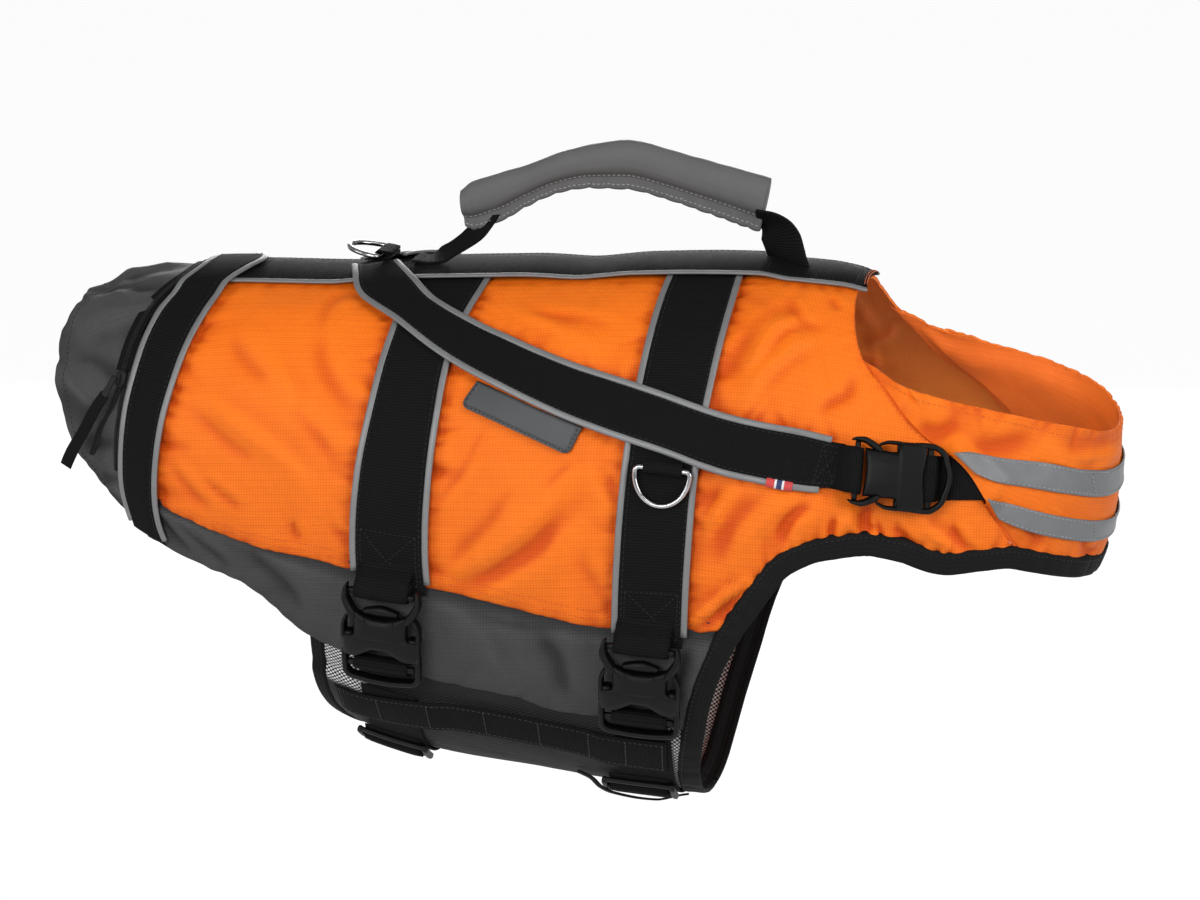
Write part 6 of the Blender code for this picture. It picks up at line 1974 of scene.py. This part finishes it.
def tri_glide(name, at, length, width, thickness, base):
    """A slide of two rails and three bars, with the webbing through it; along runs down the strap."""
    half, long = width / 2, length / 2
    top = base + thickness
    build = Build()
    for side in (-1, 1):
        rail = [(share * long, side * (half - inward), size, base, top - less)
                for share, inward, size, less in ((-1, 2.3, 1.7, 1.6), (-0.7, 2.0, 2.0, 0.4),
                                                  (0.7, 2.0, 2.0, 0.4), (1, 2.3, 1.7, 1.6))]
        bar(build, at, rail, 14, 16, 3.0)
    for share, rise in ((-0.86, -0.6), (0.0, 0.0), (0.86, -0.6)):
        rows = level(-half + 1.5, half - 1.5, share * long, 1.6, base + 0.3, top - 0.9 + rise)
        bar(build, at, rows, 16, 14, 2.8, turned=True)
    build.piece(f"{name}_plastic", ["plastic"], [name], slot="black_plastic")
    straps = Build()
    path = [(-1.25, base - 1.2), (-0.95, base - 0.6), (-0.5, base + 0.8), (-0.28, top - 0.2),
            (0.0, top + 0.35)]
    path += [(-share, up) for share, up in path[-2::-1]]
    ribbon(straps, at, [(share * long, up) for share, up in path], half - 5.0)
    straps.piece(f"{name}_webbing", ["webbing"], slot="black_webbing")


# Stations and angles of the hardware on the right side.
BELLY_BUCKLES = {"rear": (4.90, 108.6), "front": (6.98, 113.6)}
TRI_GLIDES = {"rear": (4.86, 155.0), "front": (6.90, 154.0)}
SHOULDER_BUCKLE, SHOULDER_LOW, SHOULDER_HIGH = (10.39, 80.3), (9.78, 73.6), (11.20, 88.6)


def hardware(name, side):
    """The buckles and tri-glides of one side."""
    def at(station, angle):
        """Sizes at a place, with along running down round the body."""
        return bent(station, angle * side, slopes(station, angle * side)[1] * side)

    def on_side(place):
        return place[0], place[1] * side

    for where, place in BELLY_BUCKLES.items():
        side_release_buckle(f"belly_buckle_{where}_{name}", at(*place), BUCKLE_LENGTH, BUCKLE_WIDTH,
                            thickness=12.0, base=4.6, strap_half=18.0, end_round=6.0)
    for where, place in TRI_GLIDES.items():
        tri_glide(f"triglide_{where}_{name}", at(*place), length=24.0, width=50.0, thickness=5.0,
                  base=LAY_GAP + WEBBING + 1.6)
    heading = form(*on_side(SHOULDER_HIGH)) - form(*on_side(SHOULDER_LOW))
    side_release_buckle(f"shoulder_buckle_{name}", bent(*on_side(SHOULDER_BUCKLE), heading), 62.0, 42.0,
                        thickness=11.5, base=3.4, strap_half=14.0, end_round=12.0, fill=1.0)


RING_WIDTH, RING_DEPTH, RING_WIRE, RING_CORNER = 39.0, 27.0, 3.4, 3.0
RING_LOOP_WIDTH = 25.0
RING_OFF = 6.6            # from the form to the ring's bar
RING_PLACE = (7.03, 71.8)
RING_LEAN = 0.07          # how far, in radians, a side ring leans in towards the form
TOP_RING_X, TOP_RING_TILT = -160.0, 10.0


def oval(x, y, wide, high, turns):
    """Points round an oval, at turns in degrees."""
    return [(x + wide * math.cos(math.radians(t)), y + high * math.sin(math.radians(t))) for t in turns]


def ring_line():
    """The D's centre line in its own plane: the bar along x, the bow towards y."""
    half, corner = (RING_WIDTH - RING_WIRE) / 2, RING_CORNER
    points = [(x, 0.0) for x in np.linspace(-half + corner, half - corner, 18)]
    points += oval(half - corner, corner, corner, corner, np.linspace(-90, 0, 8)[1:])
    points += oval(0, corner, half, RING_DEPTH - RING_WIRE - corner, np.linspace(0, 180, 60)[1:])
    points += oval(-half + corner, corner, corner, corner, np.linspace(180, 270, 8)[1:-1])
    return np.array(points)


def ring_and_loop(name, centre, across, hang, tail, loop_hang=None):
    """A D-ring of round wire in a fold of webbing, whose tail runs away from the bow."""
    across, hang = unit(np.array(across, float)), unit(np.array(hang, float))
    line = ring_line()
    build = Build()
    build.tube(centre + across * line[:, :1] + hang * line[:, 1:], np.cross(across, hang), RING_WIRE / 2,
               RING_WIRE / 2, 16, closed=True)
    build.piece(f"{name}_steel", ["chrome"], [name], body=name, slot="chrome_steel")
    if loop_hang is not None:
        hang = unit(np.array(loop_hang, float))
    normal = np.cross(across, hang)
    inside = RING_WIRE / 2 + 0.5
    outside = inside + WEBBING
    turns = [math.radians(turn) for turn in np.linspace(90, -90, 17)]
    outer, inner = ([(-tail, far), (-tail / 2, near), *((r * math.cos(t), r * math.sin(t)) for t in turns),
                     (-tail / 2, -near), (-tail, -far)]
                    for r, far, near in ((outside, outside * 0.62, outside * 0.86), (inside, 0.25, 0.9)))
    profile = np.array(outer + inner[::-1])
    half = RING_LOOP_WIDTH / 2
    where = [-half, -half + 0.4, *np.linspace(-half + 1.2, half - 1.2, 9), half - 0.4, half]
    trims = [0.86, 0.97, *([1.0] * 9), 0.97, 0.86]
    middle = (profile + profile[::-1]) / 2
    rings = []
    for x, trim in zip(where, trims):
        section = middle + (profile - middle) * trim
        rings.append(centre + across * x + hang * section[:, :1] + normal * section[:, 1:])
    loop = Build()
    loop.rings(np.array(rings))
    loop.flats[-1] = loop.flats[-1][:, ::-1]
    loop.piece(f"{name}_loop_webbing", ["webbing"], [f"{name}_loop"], slot="black_webbing")


def rings():
    tilt = math.radians(TOP_RING_TILT)
    ring_and_loop("top_ring", np.array([TOP_RING_X, 0.0, RING_OFF]), (0, 1, 0),
                  (-math.cos(tilt), 0, math.sin(tilt)), 8.0, (-1, 0, 0))
    for name, side in SIDES:
        station, angle = RING_PLACE[0], RING_PLACE[1] * side
        along, around = slopes(station, angle)
        normal = normals(station, angle)
        hang = unit(around * side) * math.cos(RING_LEAN) - normal * math.sin(RING_LEAN)
        across = unit(along - hang * dot(along, hang))
        ring_and_loop(f"{name}_ring", form(station, angle) + normal * RING_OFF, across * side, hang, 4.6)


# Handle grip: top x and z, low x and z of each section; then half thickness by share of height.
GRIP = [(-107, 50, -104, 27), (-100, 56, -97, 25), (-80, 63, -78, 32), (-62, 69, -60, 43),
        (-40, 78, -40, 52), (-20, 84, -19, 56), (7, 88, 5, 56), (30, 83.5, 28, 51.5),
        (50, 78.5, 47, 46), (69, 74, 65, 40.5), (86, 70, 80, 35.5), (101, 66, 94, 31)]
GRIP_SECTION = [(0.0, 1.5), (0.06, 1.8), (0.24, 1.9), (0.30, 3.4), (0.38, 5.9), (0.50, 7.3), (0.62, 7.5),
                (0.76, 6.9), (0.87, 5.6), (0.95, 3.6), (1.0, 1.6)]
GRIP_SEAMS = ((0.275, 0.12), (0.10, 0.10))      # share of the height, and how far off the sleeve
LEG_THICK = 2.4
# A leg's webbing: centre x and z, then half its width as x, y, z. It starts inside the sleeve.
REAR_LEG = [(-88, 34.0, 8.0, -2.0, 1.5), (-93, 27.5, 8.4, -2.5, 0.8), (-100, 19.5, 8.6, -4.0, 0.0),
            (-108, 13.5, 8.0, -6.5, 0.0), (-115.5, 9.0, 7.0, -9.5, -0.5), (-121, 5.0, 5.0, -12.0, -1.0),
            (-129, 2.6, 2.0, -13.0, 0.0), (-138, 3.6, 0.0, -13.0, 0.0)]
FRONT_LEG = [(92.0, 40.0, 0.5, -9.0, 6.5), (99.0, 38.0, 5.0, -8.0, 7.0), (104.5, 33.5, 10.0, -5.5, 6.0),
             (108.0, 27.0, 13.4, -4.0, 2.8), (110.0, 21.0, 14.0, -5.0, 0.6), (112.0, 15.0, 14.2, -8.0, 0.4),
             (115.0, 9.5, 14.4, -10.5, -0.6), (121.0, 6.0, 14.0, -12.0, -1.4)]


def handle():
    """The padded grip with its two rows of stitching, and the two webbing legs."""
    sizes = smooth_rows(GRIP, 190)
    u = np.linspace(0, 1, len(sizes))
    shares, halves = smooth(GRIP_SECTION, 22).T
    share = np.concatenate([shares, shares[::-1]])
    half = np.concatenate([-halves, halves[::-1]])
    on_flange = 1 - ramp(share, 0.16, 0.30)
    gathers = 0.9 * wavy(u, 61, 22)
    scallop = -0.9 * np.abs(np.sin(math.pi * 20 * u)) ** 0.7 - 0.4 * wavy(u, 62, 14)
    top_x, top_z, low_x, low_z = sizes.T
    x = low_x[:, None] + (top_x - low_x)[:, None] * share
    z = low_z[:, None] + (top_z - low_z)[:, None] * share
    z = z + scallop[:, None] * (1 - ramp(share, 0.0, 0.2))
    crest = ramp(share, 0.9, 1.0) * 0.5 * wavy(u, 63, 10)[:, None]
    body = 1 + 0.05 * wavy(u, 64, 16)[:, None] * (1 - on_flange)
    y = half * body + gathers[:, None] * on_flange * ramp(-share, -0.24, -0.05)
    points = np.stack([x, y, z + crest], axis=-1)
    build = Build()
    build.rings(points)
    made = build.piece("handle_grip_sleeve", ["grip"], ["handle_grip"], slot="grip_cloth")
    thread = Build()
    for side in (-1, 1):
        for at, gap in GRIP_SEAMS:
            k = np.argmin(np.abs(shares - at))
            path = points[2:-2, k if side < 0 else 2 * len(shares) - 1 - k].copy()
            path[:, 1] += side * gap
            thread.stitches(path, (0, side, 0), "grip")
    thread.piece("handle_grip_stitching", ["grey_thread"], slot="grip_cloth")
    for name, rows in (("rear", REAR_LEG), ("front", FRONT_LEG)):
        fine = smooth_rows(rows, 40)
        centres = np.stack([fine[:, 0], 0 * fine[:, 0], fine[:, 1]], axis=-1)
        across = fine[:, 2:]
        thick_way = unit(np.cross(np.gradient(centres, axis=0), across)) * LEG_THICK / 2
        c, s = rounded_section(24, 7)
        leg = Build()
        leg.rings(centres[:, None] + across[:, None] * c[None, :, None]
                  + thick_way[:, None] * s[None, :, None])
        leg.piece(f"handle_leg_{name}_webbing", ["webbing"], [f"handle_leg_{name}"], slot="black_webbing")


ZIP_WIDTH = 11.5
ZIP_START = -63.0                             # the angle at which the closed chain starts
ZIP_END = 0.97                                # where it ends, as a share of the rear band
ZIP_TEETH, OPEN_TEETH = 210, 46               # in a closed row and in an open one
ZIP_SLIDER = (1.64, -66.0)                    # station and angle
ZIP_ROWS = ((0, 0.30), (1, 0.46))             # which row of teeth, and where across the tape
PULL_END = np.array([-355.5, -92.0, -128.0])
PULL_FACE = np.array([0.2, -0.95, 0.24])
PULL_OFF, RIBBON_START = 9.4, 14.0            # from the form to the hinge, and from there to the ribbon
# The rows of teeth that part below the slider, down towards the hem.
ZIP_OPEN = ([(1.60, -68.5), (1.50, -77), (1.30, -87), (1.16, -97)],
            [(1.70, -68.5), (1.68, -77), (1.66, -87), (1.70, -97)])


def zip_chain():
    """The zip's tape and teeth, closed above the slider and parted below it."""
    rear = Line(both_sides([(s - 0.03, a) for a, s, _ in REAR_BAND_EDGES]))
    place = strip(rear, ZIP_WIDTH, 1)
    shares = np.linspace(0, 1, 2000)
    start = float(shares[np.argmax(rear(shares)[:, 1] > ZIP_START)])
    made = walled("zip_tape_webbing", ["fine_webbing"], ["zip_tape"], "black_webbing",
                  place, start + (ZIP_END - start) * edged(200, 300), edged(8, 9, 0.25), 1.65, 0.75)
    teeth = Build()
    for row, share in ZIP_ROWS:
        u = start + (ZIP_END - start) * (np.arange(ZIP_TEETH) + 0.5 * row) / ZIP_TEETH
        station, angle = apart(place(u, 0 * u + share))
        add_teeth(teeth, lifted(station, angle, 0 * u + 2.0), normals(station, angle), 0.95)
    for rows in ZIP_OPEN:
        path, normal = path_on(Line(rows), 1.2, 0, 1, OPEN_TEETH)
        add_teeth(teeth, path, normal, 0.9, 0.4)
        teeth.tube(path - normal * 0.3, normal, 2.2, 0.45, 10, 3.0)
    teeth.piece("zip_teeth", ["zip_plastic"], slot="black_plastic")


def zip_slider():
    """The slider's body and the bridge on it that holds the pull."""
    at = bent(*ZIP_SLIDER, -slopes(*ZIP_SLIDER)[1])
    slider = Build()
    bar(slider, at, [(-5.5, 0, 2.6, 1.7, 4.0), (-3.0, 0, 4.2, 1.6, 4.6), (2.0, 0, 4.0, 1.6, 4.6),
                     (5.5, 0, 2.4, 1.8, 4.1)], 24, 22, 4.0)
    bar(slider, at, [(-3.2, 0, 1.2, 4.2, 5.4), (-2.0, 0, 1.2, 4.6, 6.2), (2.0, 0, 1.2, 4.6, 6.2),
                     (3.4, 0, 1.2, 4.2, 5.2)], 16, 12, 3.0)
    slider.piece("zip_slider_body", ["zip_plastic"], ["zip_slider"], slot="black_plastic")


def zip_pull():
    """The pull's tab on the slider, and the ribbon through it."""
    normal = normals(*ZIP_SLIDER)
    hinge = form(*ZIP_SLIDER) + normal * PULL_OFF
    reach = PULL_END - hinge
    length = np.linalg.norm(reach)
    ahead = reach / length
    normal = unit(normal - ahead * dot(normal, ahead))
    across = np.cross(normal, ahead)
    pull = Build()
    c, s = rounded_section(16, 4)
    tab = smooth([(-0.6, 1.0, 0.5), (0.4, 2.2, 0.85), (3, 2.3, 0.9), (9, 2.5, 0.9), (15.5, 3.0, 0.9),
                  (17.0, 2.6, 0.6)], 26)
    pull.rings((hinge + ahead * tab[:, :1])[:, None] + across * (tab[:, 1:2] * c)[..., None]
               + normal * (tab[:, 2:3] * s)[..., None])
    pull.piece("zip_pull_tab", ["zip_plastic"], ["zip_pull"], body="zip_pull", slot="black_plastic")
    run = np.linspace(0, 1, 60)
    distance = RIBBON_START + run * (length - RIBBON_START)
    bow = 1.6 * np.sin(math.pi * run) + 0.5 * np.sin(3 * math.pi * run)
    centre = hinge + ahead * distance[:, None] + normal * bow[:, None]
    # The ribbon twists, so that its end shows its face to the side.
    twist = 0.8 * ramp(run, 0.0, 0.5)[:, None]
    normal = unit((1 - twist) * normal + twist * unit(PULL_FACE - ahead * dot(PULL_FACE, ahead)))
    across = np.cross(normal, ahead)
    wide = 4.0 + 0.15 * np.sin(9 * run)
    c, s = rounded_section(16, 6)
    tape = Build()
    tape.rings(centre[:, None] + across[:, None] * (wide[:, None] * c)[..., None]
               + normal[:, None] * (0.7 * s)[None, :, None])
    tape.piece("zip_pull_ribbon", ["fine_webbing"], body="zip_pull", slot="black_webbing")


def add_teeth(build, path, normal, half_width, over=0.0):
    """A row of zip teeth on a path: small rounded blocks, one at each of its points."""
    ahead = unit(np.gradient(path, axis=0))
    along, across, up = ahead * 0.42, np.cross(normal, ahead) * half_width, normal * 0.55
    middles = path + normal * over
    corners = [(-1, -1, -1), (-1, 1, -1), (-1, 1, 0.6), (-1, -1, 0.6), (1, -1, -1), (1, 1, -1), (1, 1, 0.6),
               (1, -1, 0.6), (-0.6, -0.7, 1), (-0.6, 0.7, 1), (0.6, 0.7, 1), (0.6, -0.7, 1)]
    points = np.stack([middles + along * a + across * b + up * c for a, b, c in corners], axis=1)
    one = np.array([(0, 1, 5, 4), (1, 2, 6, 5), (0, 4, 7, 3), (0, 3, 2, 1), (4, 5, 6, 7), (3, 7, 11, 8),
                    (2, 9, 10, 6), (2, 3, 8, 9), (7, 6, 10, 11), (8, 11, 10, 9)])
    build.copies(points, one)


# The keeper under the belly: station, angle, lift.
KEEPER = [(6.33, 151, 1.9), (6.44, 153, 3.6), (6.53, 155, 7.8), (6.62, 156.5, 9.6), (6.82, 159, 10.2),
          (7.02, 161, 9.4), (7.16, 162, 6.4), (7.26, 162.6, 3.8), (7.33, 163, 2.4)]


def belly_keeper():
    station, angle, lift = smooth_rows(KEEPER, 70).T
    build = Build()
    build.tube(lifted(station, -angle, lift), normals(station, -angle), 2.6, 0.75, 16, 5.0)
    build.piece("belly_keeper_elastic", ["elastic"], ["belly_keeper"], slot="binding_elastic")


for side_name, side_sign in SIDES:
    for make in (side_panel, lower_panel, diagonal_strap, leg_binding, ladder, hardware):
        make(side_name, side_sign)
rump_piece()
chest_collar()
belly_panel()
back_bands()
spine_band()
chest_tape("chest_tape_upper", TAPE_UPPER, 71)
chest_tape("chest_tape_lower", TAPE_LOWER, 75)
chest_strap()
belly_strap("belly_strap_rear", 4.90)
belly_strap("belly_strap_front", 6.98)
for make in (label_patch, flag_tag, rings, handle, zip_chain, zip_slider, zip_pull, belly_keeper):
    make()
